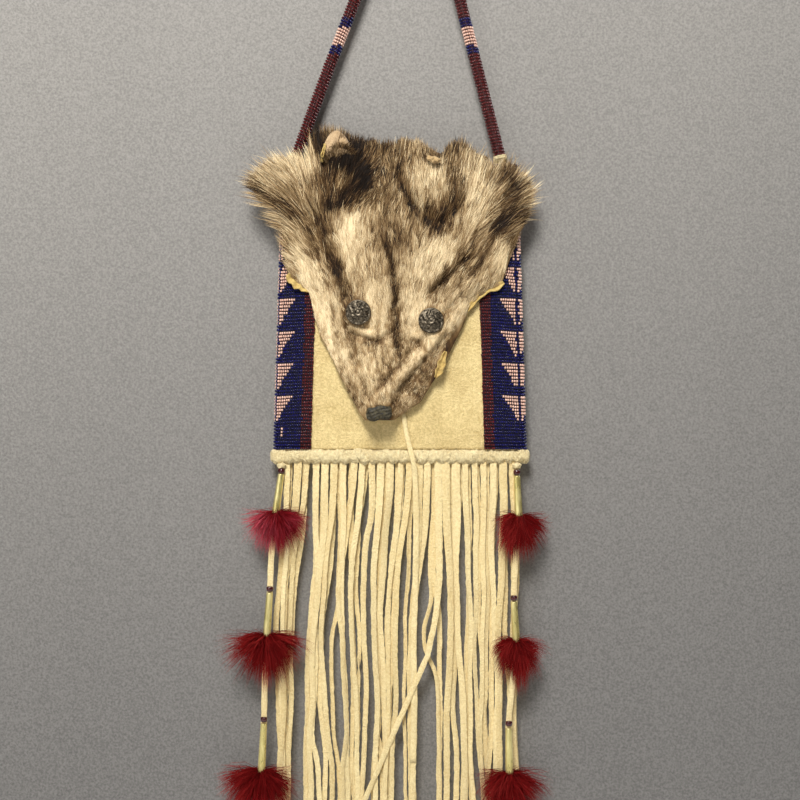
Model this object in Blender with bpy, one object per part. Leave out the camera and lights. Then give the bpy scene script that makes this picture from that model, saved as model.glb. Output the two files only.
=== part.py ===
"""A beaded medicine bag: buckskin pouch, beaded side strips, fur flap, fringe and a beaded strap.

Metres, +Z up. The bag hangs from a peg: the origin is the peg's contact point inside the top of
the strap's loop. The front faces -Y and X runs to the right of the front.
"""
import math

import bmesh
import bpy
from mathutils import Vector

# The gap that touching pieces keep.
CLEAR = 0.0003

# The pouch.
CENTRE_X = -0.0084
MOUTH_Z = -0.2290
BODY_HEIGHT = 0.2395
BODY_TOP_WIDTH = 0.1990
BODY_BASE_WIDTH = 0.2134
HIDE = 0.0012
EDGE_RADIUS = 0.0035
MOUTH_BULGE = 0.0055
FRONT_BULGE = 0.0050
BACK_BULGE = 0.0030
PANEL_LEVELS = 6
PANEL_INSETS = [0.0, 0.010, 0.020, 0.0315]
PANEL_SHARES = [0.45, 0.62, 0.80, 1.0]

# The beadwork strips that wrap the two sides.
BEAD = 0.0022
BEAD_ROW = 0.0027
ROWS_IN_RIDGE = 2
VALLEY = 0.70
NAVY_HALF = 0.0225
CENTRE_LINE_HALF = 0.0015
STRIPE_WIDTH = 0.0084
LEFT_SHIFT = 0.0030
RIGHT_SHIFT = 0.0070
ARC_COLUMNS = 4
TRIANGLE_COUNT = 8
TRIANGLE_PITCH = 0.0269
TRIANGLE_WIDTH = 0.0138
TRIANGLE_HEIGHT = 0.0205
TRIANGLE_TOP = 0.0060
WINDOW_BELOW = 0.0015
WINDOW_ABOVE = 0.0040

# The whip-stitched roll along the base, with a slot beneath for the fringe.
ROLL_HEIGHT = 0.0112
ROLL_DEPTH = 0.0116
ROLL_OVERHANG = 0.0022
STITCHES = 27
STITCH_SWELL = 0.0007
SLOT_DEPTH = 0.0026
ROLL_SIDES = 8

# The fringe, cut from two layers of buckskin.
FRINGE_LENGTH = 0.3300
FRINGE_HIDE = 0.0013
FRINGE_LAYER_GAP = 0.0013
FRINGE_MARGIN = 0.0150
FRONT_THONGS = 25
BACK_THONGS = 26
THONG_WIDTH = 0.0049
HEADER_BELOW = 0.0010
FRINGE_SPREAD = 0.05
THONG_STEPS = 4

# The strap and its tabs.
STRAP_DIAMETER = 0.0100
TAB_WIDTH = 0.0112
TAB_HIDE = 0.0020
TAB_DEPTH = 0.0300
TAB_RISE = 0.0060
LEFT_TAB_INSET = 0.0123
RIGHT_TAB_INSET = 0.0155
LEFT_LEAN = 0.36
RIGHT_LEAN = -0.25
STRAP_POINTS = 40

# The flap is the head skin of a small animal, sewn along the back panel's top edge.
ROOT_RADIUS = 0.0015
HOOK_HALF_WIDTH = 0.0720
HOOK_INNER_RISE = 0.0085
HOOK_OUTER_RISE = 0.0145
HOOK_STEPS = 5
FLAP_LIFT = 0.0008
MUZZLE_LIFT = 0.0022
FLAP_DROP = 0.2164
FLAP_HIDE = 0.0026
FLAP_COLUMNS = 17

# The eyes are two domed metal buttons and the nose is a dark wrinkled patch.
BUTTON_DIAMETER = 0.0210
BUTTON_HEIGHT = 0.0062
BUTTON_SIDES = 16
LEFT_EYE = (-0.0344, 0.1273)
RIGHT_EYE = (0.0256, 0.1340)
NOSE_AT = (-0.0172, 0.2105)
NOSE_WIDTH = 0.0212
NOSE_TALL = 0.0118
NOSE_THICK = 0.0040
NOSE_TILT = 0.07

# The two strings of beads, cones and fluffs.
LEFT_DANGLE_INSET = 0.0075
RIGHT_DANGLE_INSET = 0.0088
DANGLE_THONG = 0.0024
DANGLE_BEAD = 0.0056
CONE_TOP = 0.0042
CONE_BASE = 0.0054
CONE_WALL = 0.0005
DANGLE_Y = 0.0082
FLUFF_BACK = 0.0040
FLUFF_FRONT = 0.0150
DANGLE_SIDES = 8
FLUFF_SIDES = 10
DANGLE_POINTS = 38
TIE_POINTS = 34

# The thong that ties the flap, threaded through the front panel.
TIE_DIAMETER = 0.0034

# What follows from the sizes above.
STRIP_REACH = EDGE_RADIUS + CLEAR + BEAD
STRIP_MIDDLE = EDGE_RADIUS + CLEAR + BEAD / 2
QUARTER = math.pi / 2 * STRIP_MIDDLE
BASE_Z = MOUTH_Z - BODY_HEIGHT
ROLL_Z = BASE_Z - CLEAR - ROLL_HEIGHT / 2
ROLL_BOTTOM = ROLL_Z - ROLL_HEIGHT / 2
LAYER_MIDDLE = (FRINGE_LAYER_GAP + FRINGE_HIDE) / 2
SLOT_HALF = LAYER_MIDDLE + FRINGE_HIDE / 2 + CLEAR
HINGE_Y = EDGE_RADIUS - HIDE / 2
HINGE_Z = MOUTH_Z + CLEAR + ROOT_RADIUS
RIDGE = BEAD_ROW * ROWS_IN_RIDGE
LEFT_TAB_X = CENTRE_X - BODY_TOP_WIDTH / 2 + LEFT_TAB_INSET
RIGHT_TAB_X = CENTRE_X + BODY_TOP_WIDTH / 2 - RIGHT_TAB_INSET
LEFT_DANGLE_X = CENTRE_X - BODY_BASE_WIDTH / 2 + LEFT_DANGLE_INSET
RIGHT_DANGLE_X = CENTRE_X + BODY_BASE_WIDTH / 2 - RIGHT_DANGLE_INSET


def smoothstep(low, high, value):
    """0 below low, 1 above high and a soft rise between them."""
    t = min(1.0, max(0.0, (value - low) / (high - low)))
    return t * t * (3 - 2 * t)


def along(table, value):
    """Read a table of (place, size) pairs at a place between its ends."""
    for (a, x), (b, y) in zip(table, table[1:]):
        if value <= b:
            t = max(0.0, (value - a) / (b - a))
            return x + (y - x) * t
    return table[-1][1]


def half_width(z):
    """Half of the pouch's width over its beads at a height."""
    share = (MOUTH_Z - z) / BODY_HEIGHT
    return (BODY_TOP_WIDTH + (BODY_BASE_WIDTH - BODY_TOP_WIDTH) * share) / 2


def flat_half(z):
    """Half of the width between the two rounded sides."""
    return half_width(z) - STRIP_REACH


def skin(z, inset, front):
    """Distance of a panel's outer face from the middle plane, at an inset from the rounded side."""
    share = min(1.0, max(0.0, (MOUTH_Z - z) / BODY_HEIGHT))
    if front:
        bulge = MOUTH_BULGE * (1 - share) + FRONT_BULGE * 4 * share * (1 - share)
    else:
        bulge = BACK_BULGE * 4 * share * (1 - share)
    across = min(1.0, max(0.0, inset / flat_half(z)))
    return EDGE_RADIUS + bulge * math.sin(math.pi / 2 * across) ** 2


def strip_point(side, s, z, lift):
    """A point on a side strip: s runs round the side, from the back (minus) to the front (plus)."""
    flat = flat_half(z)
    if abs(s) <= QUARTER:
        turn = s / STRIP_MIDDLE
        x = flat + (EDGE_RADIUS + lift) * math.cos(turn)
        y = -(EDGE_RADIUS + lift) * math.sin(turn)
    else:
        inset = abs(s) - QUARTER
        x = flat - inset
        y = -math.copysign(skin(z, inset, s > 0) + lift, s)
    return Vector((CENTRE_X + side * x, y, z))


def make_material(name, colour, roughness, metallic=0.0):
    """A plain Principled material."""
    material = bpy.data.materials.new(name)
    material.use_nodes = True
    shader = material.node_tree.nodes["Principled BSDF"]
    shader.inputs["Base Color"].default_value = (*colour, 1)
    shader.inputs["Roughness"].default_value = roughness
    shader.inputs["Metallic"].default_value = metallic
    material.diffuse_color = (*colour, 1)
    return material


def add_object(name, mesh, material, smooth):
    """Put a finished mesh in the scene as a named object."""
    bm = bmesh.new()
    bm.from_mesh(mesh)
    bmesh.ops.recalc_face_normals(bm, faces=bm.faces)
    bm.to_mesh(mesh)
    bm.free()
    mesh.materials.clear()
    mesh.materials.append(material)
    for polygon in mesh.polygons:
        polygon.use_smooth = smooth
    item = bpy.data.objects.new(name, mesh)
    bpy.context.collection.objects.link(item)
    return item


def solid(name, points, faces, material, smooth=False):
    """An object from points and faces."""
    mesh = bpy.data.meshes.new(name)
    mesh.from_pydata([tuple(p) for p in points], [], faces)
    return add_object(name, mesh, material, smooth)


def shell(name, outer, inner, material, smooth=False):
    """A closed sheet between two grids of points that have the same rows and columns."""
    rows = len(outer)
    columns = len(outer[0])
    points = [p for row in outer for p in row] + [p for row in inner for p in row]
    below = rows * columns
    faces = []
    for i in range(rows - 1):
        for j in range(columns - 1):
            a = i * columns + j
            faces.append((a, a + 1, a + columns + 1, a + columns))
            b = a + below
            faces.append((b, b + columns, b + columns + 1, b + 1))
    rim = [j for j in range(columns)]
    rim += [i * columns + columns - 1 for i in range(1, rows)]
    rim += [(rows - 1) * columns + j for j in range(columns - 2, -1, -1)]
    rim += [i * columns for i in range(rows - 2, 0, -1)]
    for a, b in zip(rim, rim[1:] + rim[:1]):
        faces.append((b, a, a + below, b + below))
    return solid(name, points, faces, material, smooth)


def loft(name, rings, material, smooth=True):
    """A closed body through rings of points, with a flat cap at each end."""
    count = len(rings[0])
    points = [p for ring in rings for p in ring]
    faces = [tuple(range(count)), tuple(range(len(points) - count, len(points)))[::-1]]
    for k in range(len(rings) - 1):
        for j in range(count):
            a = k * count + j
            b = k * count + (j + 1) % count
            faces.append((a, b, b + count, a + count))
    return solid(name, points, faces, material, smooth)


def sleeve(name, outer, inner, material, smooth=True):
    """A closed body with a hole right through, from outer rings and inner rings."""
    count = len(outer[0])
    rings = outer + inner[::-1]
    points = [p for ring in rings for p in ring]
    faces = []
    for k in range(len(rings)):
        for j in range(count):
            a = k * count + j
            b = k * count + (j + 1) % count
            c = (k + 1) % len(rings) * count + (j + 1) % count
            d = (k + 1) % len(rings) * count + j
            faces.append((a, b, c, d))
    return solid(name, points, faces, material, smooth)


def frame_of(axis):
    """Two directions square to an axis: one to the right, one to the front."""
    axis = Vector(axis).normalized()
    right = Vector((1, 0, 0))
    right = (right - axis * right.dot(axis)).normalized()
    return right, axis.cross(right)


def ring(centre, axis, half_right, half_other, count):
    """An oval of points square to an axis."""
    right, other = frame_of(axis)
    points = []
    for k in range(count):
        turn = 2 * math.pi * (k + 0.5) / count
        points.append(Vector(centre) + right * (half_right * math.cos(turn))
                      + other * (half_other * math.sin(turn)))
    return points


def combine(item, cutter, operation):
    """Cut or intersect an object with a cutter, which is removed."""
    modifier = item.modifiers.new("cut", "BOOLEAN")
    modifier.operation = operation
    modifier.solver = "EXACT"
    modifier.object = cutter
    bpy.context.view_layer.update()
    graph = bpy.context.evaluated_depsgraph_get()
    mesh = bpy.data.meshes.new_from_object(item.evaluated_get(graph))
    item.modifiers.clear()
    item.data = mesh
    for polygon in mesh.polygons:
        polygon.material_index = 0
    while len(mesh.materials) > 1:
        mesh.materials.pop()
    bpy.data.objects.remove(cutter)
    return item


def smooth_path(points, count):
    """Evenly spaced points on a smooth curve through the route's own points."""
    route = [Vector(p) for p in points]
    route = [route[0] * 2 - route[1]] + route + [route[-1] * 2 - route[-2]]
    fine = []
    for a, b, c, d in zip(route, route[1:], route[2:], route[3:]):
        for k in range(24):
            t = k / 24
            fine.append(0.5 * ((2 * b) + (c - a) * t + (2 * a - 5 * b + 4 * c - d) * t * t
                               + (3 * b - a - 3 * c + d) * t * t * t))
    fine.append(route[-2])
    lengths = [0.0]
    for a, b in zip(fine, fine[1:]):
        lengths.append(lengths[-1] + (b - a).length)
    even = []
    k = 0
    for step in range(count):
        want = lengths[-1] * step / (count - 1)
        while k < len(fine) - 2 and lengths[k + 1] < want:
            k += 1
        share = (want - lengths[k]) / (lengths[k + 1] - lengths[k])
        even.append(fine[k].lerp(fine[k + 1], share))
    return even


def tube(name, points, diameter, resolution, material):
    """A cord: a round tube through points, with filled ends."""
    curve = bpy.data.curves.new(name, "CURVE")
    curve.dimensions = "3D"
    spline = curve.splines.new("POLY")
    spline.points.add(len(points) - 1)
    for knot, point in zip(spline.points, points):
        knot.co = (*point, 1)
    curve.bevel_depth = diameter / 2
    curve.bevel_resolution = resolution
    curve.use_fill_caps = True
    curve.materials.append(material)
    item = bpy.data.objects.new(name, curve)
    bpy.context.collection.objects.link(item)
    return item


def panel_levels():
    """Heights at which the panels and the strips' inner faces have their rows."""
    return [MOUTH_Z - BODY_HEIGHT * k / PANEL_LEVELS for k in range(PANEL_LEVELS + 1)]


def build_panel(name, front, material):
    """One buckskin panel, which runs under the beadwork to the rounded sides."""
    outward = -1 if front else 1
    outer = []
    inner = []
    for z in panel_levels():
        half = flat_half(z)
        steps = PANEL_INSETS + [half * share for share in PANEL_SHARES]
        places = [(-half + d, d) for d in steps] + [(half - d, d) for d in steps[-2::-1]]
        outer.append([(CENTRE_X + x, outward * skin(z, d, front), z) for x, d in places])
        inner.append([(CENTRE_X + x, outward * (skin(z, d, front) - HIDE), z) for x, d in places])
    return shell(name, outer, inner, material, smooth=True)


def strip_columns(start, end):
    """The places round a side where a strip has its columns, between two ends."""
    places = {start, end}
    for k in range(ARC_COLUMNS + 1):
        places.add(-QUARTER + 2 * QUARTER * k / ARC_COLUMNS)
    places.add(QUARTER + PANEL_INSETS[1])
    return sorted(s for s in places if start <= s <= end)


def build_strip(name, side, start, end, top, bottom, material):
    """A piece of beadwork between two places round the side and two heights, ridged by its rows."""
    first = round((MOUTH_Z - top) / RIDGE)
    last = round((MOUTH_Z - bottom) / RIDGE)
    scale = BODY_HEIGHT / round(BODY_HEIGHT / RIDGE)
    heights = []
    for k in range(first, last):
        heights.append((MOUTH_Z - k * scale, VALLEY))
        heights.append((MOUTH_Z - (k + 0.5) * scale, 1.0))
    heights.append((MOUTH_Z - last * scale, VALLEY))
    levels = [heights[0][0]]
    levels += [z for z in panel_levels() if heights[-1][0] + RIDGE < z < heights[0][0] - RIDGE]
    levels.append(heights[-1][0])
    columns = strip_columns(start, end)
    width = len(columns)
    points = [strip_point(side, s, z, CLEAR + BEAD * full) for z, full in heights for s in columns]
    inner = len(points)
    points += [strip_point(side, s, z, CLEAR) for z in levels for s in columns]
    faces = []
    for rows, base in ((len(heights), 0), (len(levels), inner)):
        for i in range(rows - 1):
            for j in range(width - 1):
                a = base + i * width + j
                faces.append((a, a + 1, a + width + 1, a + width))
    for j in range(width - 1):
        faces.append((j, j + 1, inner + j + 1, inner + j))
        a = (len(heights) - 1) * width + j
        b = inner + (len(levels) - 1) * width + j
        faces.append((a, a + 1, b + 1, b))
    for j in (0, width - 1):
        edge = [i * width + j for i in range(len(heights))]
        back = [inner + i * width + j for i in range(len(levels))]
        faces.append(tuple(edge + back[::-1]))
    return solid(name, points, faces, material)


def triangle_corners(side, shift, k, shrink):
    """Corners (s, z) of one pink triangle, drawn in by a clearance."""
    outer = shift + CENTRE_LINE_HALF
    top = MOUTH_Z - TRIANGLE_TOP - k * TRIANGLE_PITCH
    corners = [Vector((outer, top)), Vector((outer + TRIANGLE_WIDTH, top)),
               Vector((outer, top - TRIANGLE_HEIGHT))]
    sides = [(corners[(i + 1) % 3] - corners[(i + 2) % 3]).length for i in range(3)]
    total = sum(sides)
    centre = sum((corner * length for corner, length in zip(corners, sides)), Vector((0, 0))) / total
    inner_radius = TRIANGLE_WIDTH * TRIANGLE_HEIGHT / total
    share = (inner_radius - shrink) / inner_radius
    return [centre + (corner - centre) * share for corner in corners]


def triangle_prism(side, shift, k, shrink, material):
    """The cutter of one pink triangle, square to the beadwork."""
    corners = triangle_corners(side, shift, k, shrink)
    low = [strip_point(side, s, z, -WINDOW_BELOW) for s, z in corners]
    high = [strip_point(side, s, z, CLEAR + BEAD + WINDOW_ABOVE) for s, z in corners]
    faces = [(0, 1, 2), (5, 4, 3), (0, 3, 1), (3, 4, 1), (1, 4, 5), (1, 5, 2), (2, 5, 3), (2, 3, 0)]
    return solid("cutter", low + high, faces, material)


def build_beadwork(side, label, shift, navy, oxblood, pink):
    """One side's beadwork: navy field, its pink triangles and the two oxblood stripes."""
    front_end = shift + NAVY_HALF
    back_end = shift - NAVY_HALF
    field = build_strip("bead_field_" + label, side, back_end, front_end, MOUTH_Z, BASE_Z, navy)
    for k in range(TRIANGLE_COUNT):
        combine(field, triangle_prism(side, shift, k, 0, navy), "DIFFERENCE")
        corners = triangle_corners(side, shift, k, CLEAR)
        top = min(MOUTH_Z, corners[0].y + RIDGE)
        patch = build_strip(f"bead_triangle_{label}_{k + 1}", side, corners[0].x - 0.001,
                            corners[1].x + 0.001, top, corners[2].y - RIDGE, pink)
        combine(patch, triangle_prism(side, shift, k, CLEAR, pink), "INTERSECT")
    build_strip("bead_stripe_front_" + label, side, front_end + CLEAR,
                front_end + CLEAR + STRIPE_WIDTH, MOUTH_Z, BASE_Z, oxblood)
    build_strip("bead_stripe_back_" + label, side, back_end - CLEAR - STRIPE_WIDTH,
                back_end - CLEAR, MOUTH_Z, BASE_Z, oxblood)


def roll_section(x, swell):
    """The roll's section: an oval with a slot up its underside."""
    half_deep = ROLL_DEPTH / 2 + swell
    half_high = ROLL_HEIGHT / 2
    start = math.asin(SLOT_HALF / half_deep)
    points = []
    for k in range(ROLL_SIDES + 1):
        turn = start + (2 * math.pi - 2 * start) * k / ROLL_SIDES
        down = half_high + (swell if math.cos(turn) > 0 else 0)
        points.append((x, -half_deep * math.sin(turn), ROLL_Z - down * math.cos(turn)))
    roof = ROLL_BOTTOM + SLOT_DEPTH + CLEAR
    points.append((x, SLOT_HALF, roof))
    points.append((x, -SLOT_HALF, roof))
    return points


def roll_swell(x):
    """How far the roll stands out at a place along it: fat between stitches, thin at each one."""
    half = BODY_BASE_WIDTH / 2 + ROLL_OVERHANG
    place = (x - CENTRE_X + half) / (2 * half) * 2 * STITCHES
    return STITCH_SWELL * (1 - 2 * abs((place % 2) - 1))


def roll_underside(x, depth):
    """Height of the roll's underside, in front of its slot, at a distance from the middle plane."""
    first, second = roll_section(x, roll_swell(x))[:2]
    share = (-depth - first[1]) / (second[1] - first[1])
    return first[2] + (second[2] - first[2]) * share


def build_roll(material):
    """The lumpy stitched roll that closes the base."""
    half = BODY_BASE_WIDTH / 2 + ROLL_OVERHANG
    sections = []
    for k in range(2 * STITCHES + 1):
        x = CENTRE_X - half + 2 * half * k / (2 * STITCHES)
        sections.append(roll_section(x, roll_swell(x)))
    return loft("bottom_roll", sections, material)


def thong_drift(share, across, phase):
    """How far a thong wanders sideways at a share of its length."""
    slow = 0.0040 * math.sin(2.6 * share + 5.0 * across + phase)
    wave = 0.0016 * math.sin(7.0 * share + 9.0 * across + 2 * phase)
    return share * (slow + wave)


def build_fringe(name, middle_y, count, phase, material):
    """A fringe: an uncut header in the roll's slot, cut into thongs below it."""
    half = BODY_BASE_WIDTH / 2 - FRINGE_MARGIN
    pitch = 2 * half / (count - 1)
    top = ROLL_BOTTOM + SLOT_DEPTH
    base = ROLL_BOTTOM - HEADER_BELOW
    front = middle_y - FRINGE_HIDE / 2
    back = middle_y + FRINGE_HIDE / 2
    points = []
    faces = []
    edges = []
    for k in range(count):
        middle = CENTRE_X - half + pitch * k
        edges += [middle - THONG_WIDTH / 2, middle + THONG_WIDTH / 2]
    for x in edges:
        points += [(x, front, top), (x, back, top), (x, front, base), (x, back, base)]
    for j in range(len(edges) - 1):
        a = 4 * j
        b = a + 4
        faces += [(a, b, b + 2, a + 2), (b + 1, a + 1, a + 3, b + 3), (a, a + 1, b + 1, b)]
        if j % 2:
            faces.append((a + 2, b + 2, b + 3, a + 3))
    end = 4 * (len(edges) - 1)
    faces += [(0, 2, 3, 1), (end, end + 1, end + 3, end + 2)]
    for k in range(count):
        across = k / (count - 1) - 0.5
        middle = CENTRE_X - half + pitch * k
        length = FRINGE_LENGTH * (1 - 0.03 * abs(math.sin(2.3 * k + phase)))
        above = [8 * k + 2, 8 * k + 6, 8 * k + 7, 8 * k + 3]
        for step in range(1, THONG_STEPS + 1):
            share = step / THONG_STEPS
            x = middle + 2 * half * across * FRINGE_SPREAD * share + thong_drift(share, across, phase)
            z = base - length * share
            first = len(points)
            points += [(x - THONG_WIDTH / 2, front, z), (x + THONG_WIDTH / 2, front, z),
                       (x + THONG_WIDTH / 2, back, z), (x - THONG_WIDTH / 2, back, z)]
            below = [first, first + 1, first + 2, first + 3]
            for i in range(4):
                j = (i + 1) % 4
                faces.append((above[i], above[j], below[j], below[i]))
            above = below
        faces.append(tuple(above[::-1]))
    return solid(name, points, faces, material)


# How far the flap's two edges lie from the pouch's middle, down from the hinge.
FLAP_LEFT = [(0.0000, -HOOK_HALF_WIDTH), (0.0110, -HOOK_HALF_WIDTH), (0.0140, -0.1220),
             (0.0232, -0.1310), (0.0400, -0.1159), (0.0526, -0.1050), (0.0652, -0.0966),
             (0.0946, -0.0941), (0.1105, -0.0764), (0.1466, -0.0672), (0.1601, -0.0588),
             (0.1802, -0.0504), (0.1954, -0.0412), (0.2105, -0.0344), (0.2164, -0.0294)]
FLAP_RIGHT = [(0.0000, HOOK_HALF_WIDTH), (0.0110, HOOK_HALF_WIDTH), (0.0140, 0.1050),
              (0.0232, 0.1130), (0.0440, 0.1075), (0.0660, 0.0983), (0.0860, 0.0907),
              (0.1037, 0.0848), (0.1080, 0.0739), (0.1205, 0.0588), (0.1373, 0.0529),
              (0.1541, 0.0445), (0.1760, 0.0336), (0.1869, 0.0260), (0.2012, 0.0176),
              (0.2079, 0.0067), (0.2164, -0.0042)]
FOLD_START = Vector((0.0520, 0.1240))
FOLD_END = Vector((-0.0126, 0.1980))


def hump(distance, width):
    """A soft rise of height 1 that fades at about the width."""
    return math.exp(-(distance / width) ** 2)


def fold_distance(x, drop):
    """Distance from the rolled fold beside the muzzle."""
    here = Vector((x, drop))
    run = FOLD_END - FOLD_START
    share = min(1.0, max(0.0, (here - FOLD_START).dot(run) / run.length_squared))
    return (here - FOLD_START - run * share).length


def flap_inner(x, drop):
    """Distance from the middle plane of the flap's inner face, over the front panel's beadwork."""
    z = HINGE_Z - drop
    inset = max(0.0, flat_half(min(z, MOUTH_Z)) - abs(x))
    lift = CLEAR + BEAD + FLAP_LIFT + MUZZLE_LIFT * smoothstep(0.15, 0.20, drop)
    return skin(min(z, MOUTH_Z), inset, True) + lift


def flap_pad(x, drop):
    """Thickness of the head skin and its fur: cheeks, brow, ears, muzzle and folds."""
    pad = FLAP_HIDE + 0.0030
    pad += 0.0060 * hump(abs(x) - 0.088, 0.034) * hump(drop - 0.035, 0.045)
    pad += 0.0030 * hump(x + 0.004, 0.030) * hump(drop - 0.075, 0.060)
    pad += 0.0042 * hump(x + 0.016, 0.018) * smoothstep(0.13, 0.20, drop)
    pad += 0.0060 * hump(x + 0.046, 0.016) * hump(drop - 0.002, 0.022)
    pad += 0.0055 * hump(x - 0.026, 0.016) * hump(drop - 0.012, 0.020)
    pad -= 0.0030 * hump(x + 0.046, 0.013) * hump(drop - 0.042, 0.018)
    pad -= 0.0030 * hump(x - 0.026, 0.013) * hump(drop - 0.055, 0.020)
    pad += 0.0036 * hump(fold_distance(x, drop), 0.0075)
    pad -= 0.0022 * hump(x + 0.009, 0.006) * hump(drop - 0.125, 0.040)
    return pad


def flap_outer(x, drop):
    """Distance from the middle plane of the flap's front, made level under the eyes and the nose."""
    depth = flap_inner(x, drop) + flap_pad(x, drop)
    for place, flat, fade in ((LEFT_EYE, 0.021, 0.028), (RIGHT_EYE, 0.021, 0.028),
                              (NOSE_AT, 0.017, 0.024)):
        reach = math.hypot(x - place[0], drop - place[1])
        level = flap_inner(*place) + flap_pad(*place)
        share = smoothstep(flat, fade, reach)
        depth = level + (depth - level) * share
    return depth


def build_flap(material):
    """The fur flap: a hook over the mouth, then the head down the front."""
    outer = []
    inner = []
    hook_columns = [-HOOK_HALF_WIDTH + 2 * HOOK_HALF_WIDTH * j / FLAP_COLUMNS
                    for j in range(FLAP_COLUMNS + 1)]
    outer.append([(CENTRE_X + x, HINGE_Y, HINGE_Z - ROOT_RADIUS) for x in hook_columns])
    inner.append([(CENTRE_X + x, HINGE_Y - ROOT_RADIUS * 0.8, HINGE_Z - ROOT_RADIUS * 0.6)
                  for x in hook_columns])
    for k in range(HOOK_STEPS):
        turn = math.pi * k / HOOK_STEPS
        rows = ((outer, HINGE_Y + ROOT_RADIUS, HOOK_OUTER_RISE, flap_outer),
                (inner, HINGE_Y - ROOT_RADIUS, HOOK_INNER_RISE, flap_inner))
        for grid, back, rise, front in rows:
            row = []
            for x in hook_columns:
                middle = (back - front(x, 0.0)) / 2
                half = (back + front(x, 0.0)) / 2
                row.append((CENTRE_X + x, middle + half * math.cos(turn),
                            HINGE_Z + rise * math.sin(turn)))
            grid.append(row)
    drops = [0.0, 0.0105, 0.0145, 0.0232, 0.0330, 0.0430, 0.0540, 0.0660, 0.0790, 0.0920, 0.1037,
             0.1120, 0.1205, 0.1320, 0.1430, 0.1541, 0.1660, 0.1780, 0.1900, 0.2000, 0.2090,
             FLAP_DROP]
    for drop in drops:
        left = along(FLAP_LEFT, drop)
        right = along(FLAP_RIGHT, drop)
        outer_row = []
        inner_row = []
        for j in range(FLAP_COLUMNS + 1):
            x = left + (right - left) * j / FLAP_COLUMNS
            edge = min(j, FLAP_COLUMNS - j, 3) / 3
            thin = FLAP_HIDE + (flap_outer(x, drop) - flap_inner(x, drop) - FLAP_HIDE) * edge
            outer_row.append((CENTRE_X + x, -flap_inner(x, drop) - thin, HINGE_Z - drop))
            inner_row.append((CENTRE_X + x, -flap_inner(x, drop), HINGE_Z - drop))
        outer.append(outer_row)
        inner.append(inner_row)
    return shell("fur_flap", outer, inner, material, smooth=True)


def build_button(name, place, material):
    """A domed button: a rolled rim round a raised centre, with a flat back on the fur."""
    radius = BUTTON_DIAMETER / 2
    profile = [(radius * 0.93, 0.0), (radius, BUTTON_HEIGHT * 0.16), (radius, BUTTON_HEIGHT * 0.30),
               (radius * 0.94, BUTTON_HEIGHT * 0.42), (radius * 0.86, BUTTON_HEIGHT * 0.40),
               (radius * 0.72, BUTTON_HEIGHT * 0.72), (radius * 0.42, BUTTON_HEIGHT * 0.94),
               (radius * 0.14, BUTTON_HEIGHT)]
    centre = Vector((CENTRE_X + place[0], -flap_outer(*place) - CLEAR, HINGE_Z - place[1]))
    rings = [ring(centre + Vector((0, -rise, 0)), (0, 1, 0), reach, reach, BUTTON_SIDES)
             for reach, rise in profile]
    return loft(name, rings, material)


def build_nose(material):
    """The nose: a thick wrinkled patch with rounded edges."""
    columns = 9
    rows = 5
    centre_y = -flap_outer(*NOSE_AT) - CLEAR
    outer = []
    inner = []
    for i in range(rows):
        outer_row = []
        inner_row = []
        for j in range(columns):
            u = 2 * j / (columns - 1) - 1
            v = 2 * i / (rows - 1) - 1
            x = u * NOSE_WIDTH / 2
            z = -v * NOSE_TALL / 2 + x * NOSE_TILT
            full = (1 - abs(u) ** 4) * (1 - abs(v) ** 4)
            wrinkle = 0.0005 * math.sin(5.5 * u + 2.5 * v)
            rise = NOSE_THICK * (0.45 + 0.55 * full) + wrinkle * full
            at_x = CENTRE_X + NOSE_AT[0] + x
            at_z = HINGE_Z - NOSE_AT[1] + z
            outer_row.append((at_x, centre_y - rise, at_z))
            inner_row.append((at_x, centre_y, at_z))
        outer.append(outer_row)
        inner.append(inner_row)
    return shell("nose_patch", outer, inner, material, smooth=True)


def tab_top(x, lean):
    """The point where a tab meets the strap, and the strap's direction there."""
    return Vector((x, 0.0, MOUTH_Z + TAB_RISE)), Vector((lean, 0.0, 1.0)).normalized()


def build_tab(name, x, lean, material):
    """A buckskin tab: flat inside the pouch, wrapped round the strap's end above the mouth."""
    top, up = tab_top(x, lean)
    inside_y = EDGE_RADIUS - HIDE - CLEAR - TAB_HIDE / 2
    half = TAB_WIDTH / 2
    wrap = STRAP_DIAMETER / 2 + 0.0004
    spine = [(Vector((x - lean * TAB_DEPTH * 0.4, inside_y, MOUTH_Z - TAB_DEPTH)), half, TAB_HIDE / 2),
             (Vector((x - lean * TAB_DEPTH * 0.2, inside_y, MOUTH_Z - TAB_DEPTH * 0.4)), half,
              TAB_HIDE / 2),
             (Vector((x - lean * TAB_RISE, inside_y * 0.6, MOUTH_Z + 0.0008)), half, TAB_HIDE / 2),
             (top - up * 0.0022, wrap, wrap * 0.85), (top, wrap, wrap)]
    rings = [ring(centre, up, right, other, 12) for centre, right, other in spine]
    return loft(name, rings, material)


def strap_route():
    """The strap from the left tab, over the peg, to the right tab."""
    left, left_up = tab_top(LEFT_TAB_X, LEFT_LEAN)
    right, right_up = tab_top(RIGHT_TAB_X, RIGHT_LEAN)
    left += left_up * CLEAR
    right += right_up * CLEAR
    crest = STRAP_DIAMETER / 2
    return [left, left + left_up * 0.012, (-0.0700, 0, -0.1530), (-0.0462, 0, -0.0908),
            (-0.0290, 0, -0.0440), (-0.0188, 0, -0.0170), (-0.0130, 0, -0.0035),
            (0.0010, 0, crest), (0.0150, 0, -0.0020), (0.0222, 0, -0.0150), (0.0300, 0, -0.0440),
            (0.0420, 0, -0.0908), (0.0580, 0, -0.1540), right + right_up * 0.012, right]


def dangle_start(x):
    """Where a dangle's thong leaves the underside of the roll."""
    radius = DANGLE_THONG / 2
    depth = SLOT_HALF + CLEAR + radius
    lowest = min(roll_underside(x + step, depth - radius) for step in (-radius, 0, radius))
    return (x, -depth, lowest - CLEAR)


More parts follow.
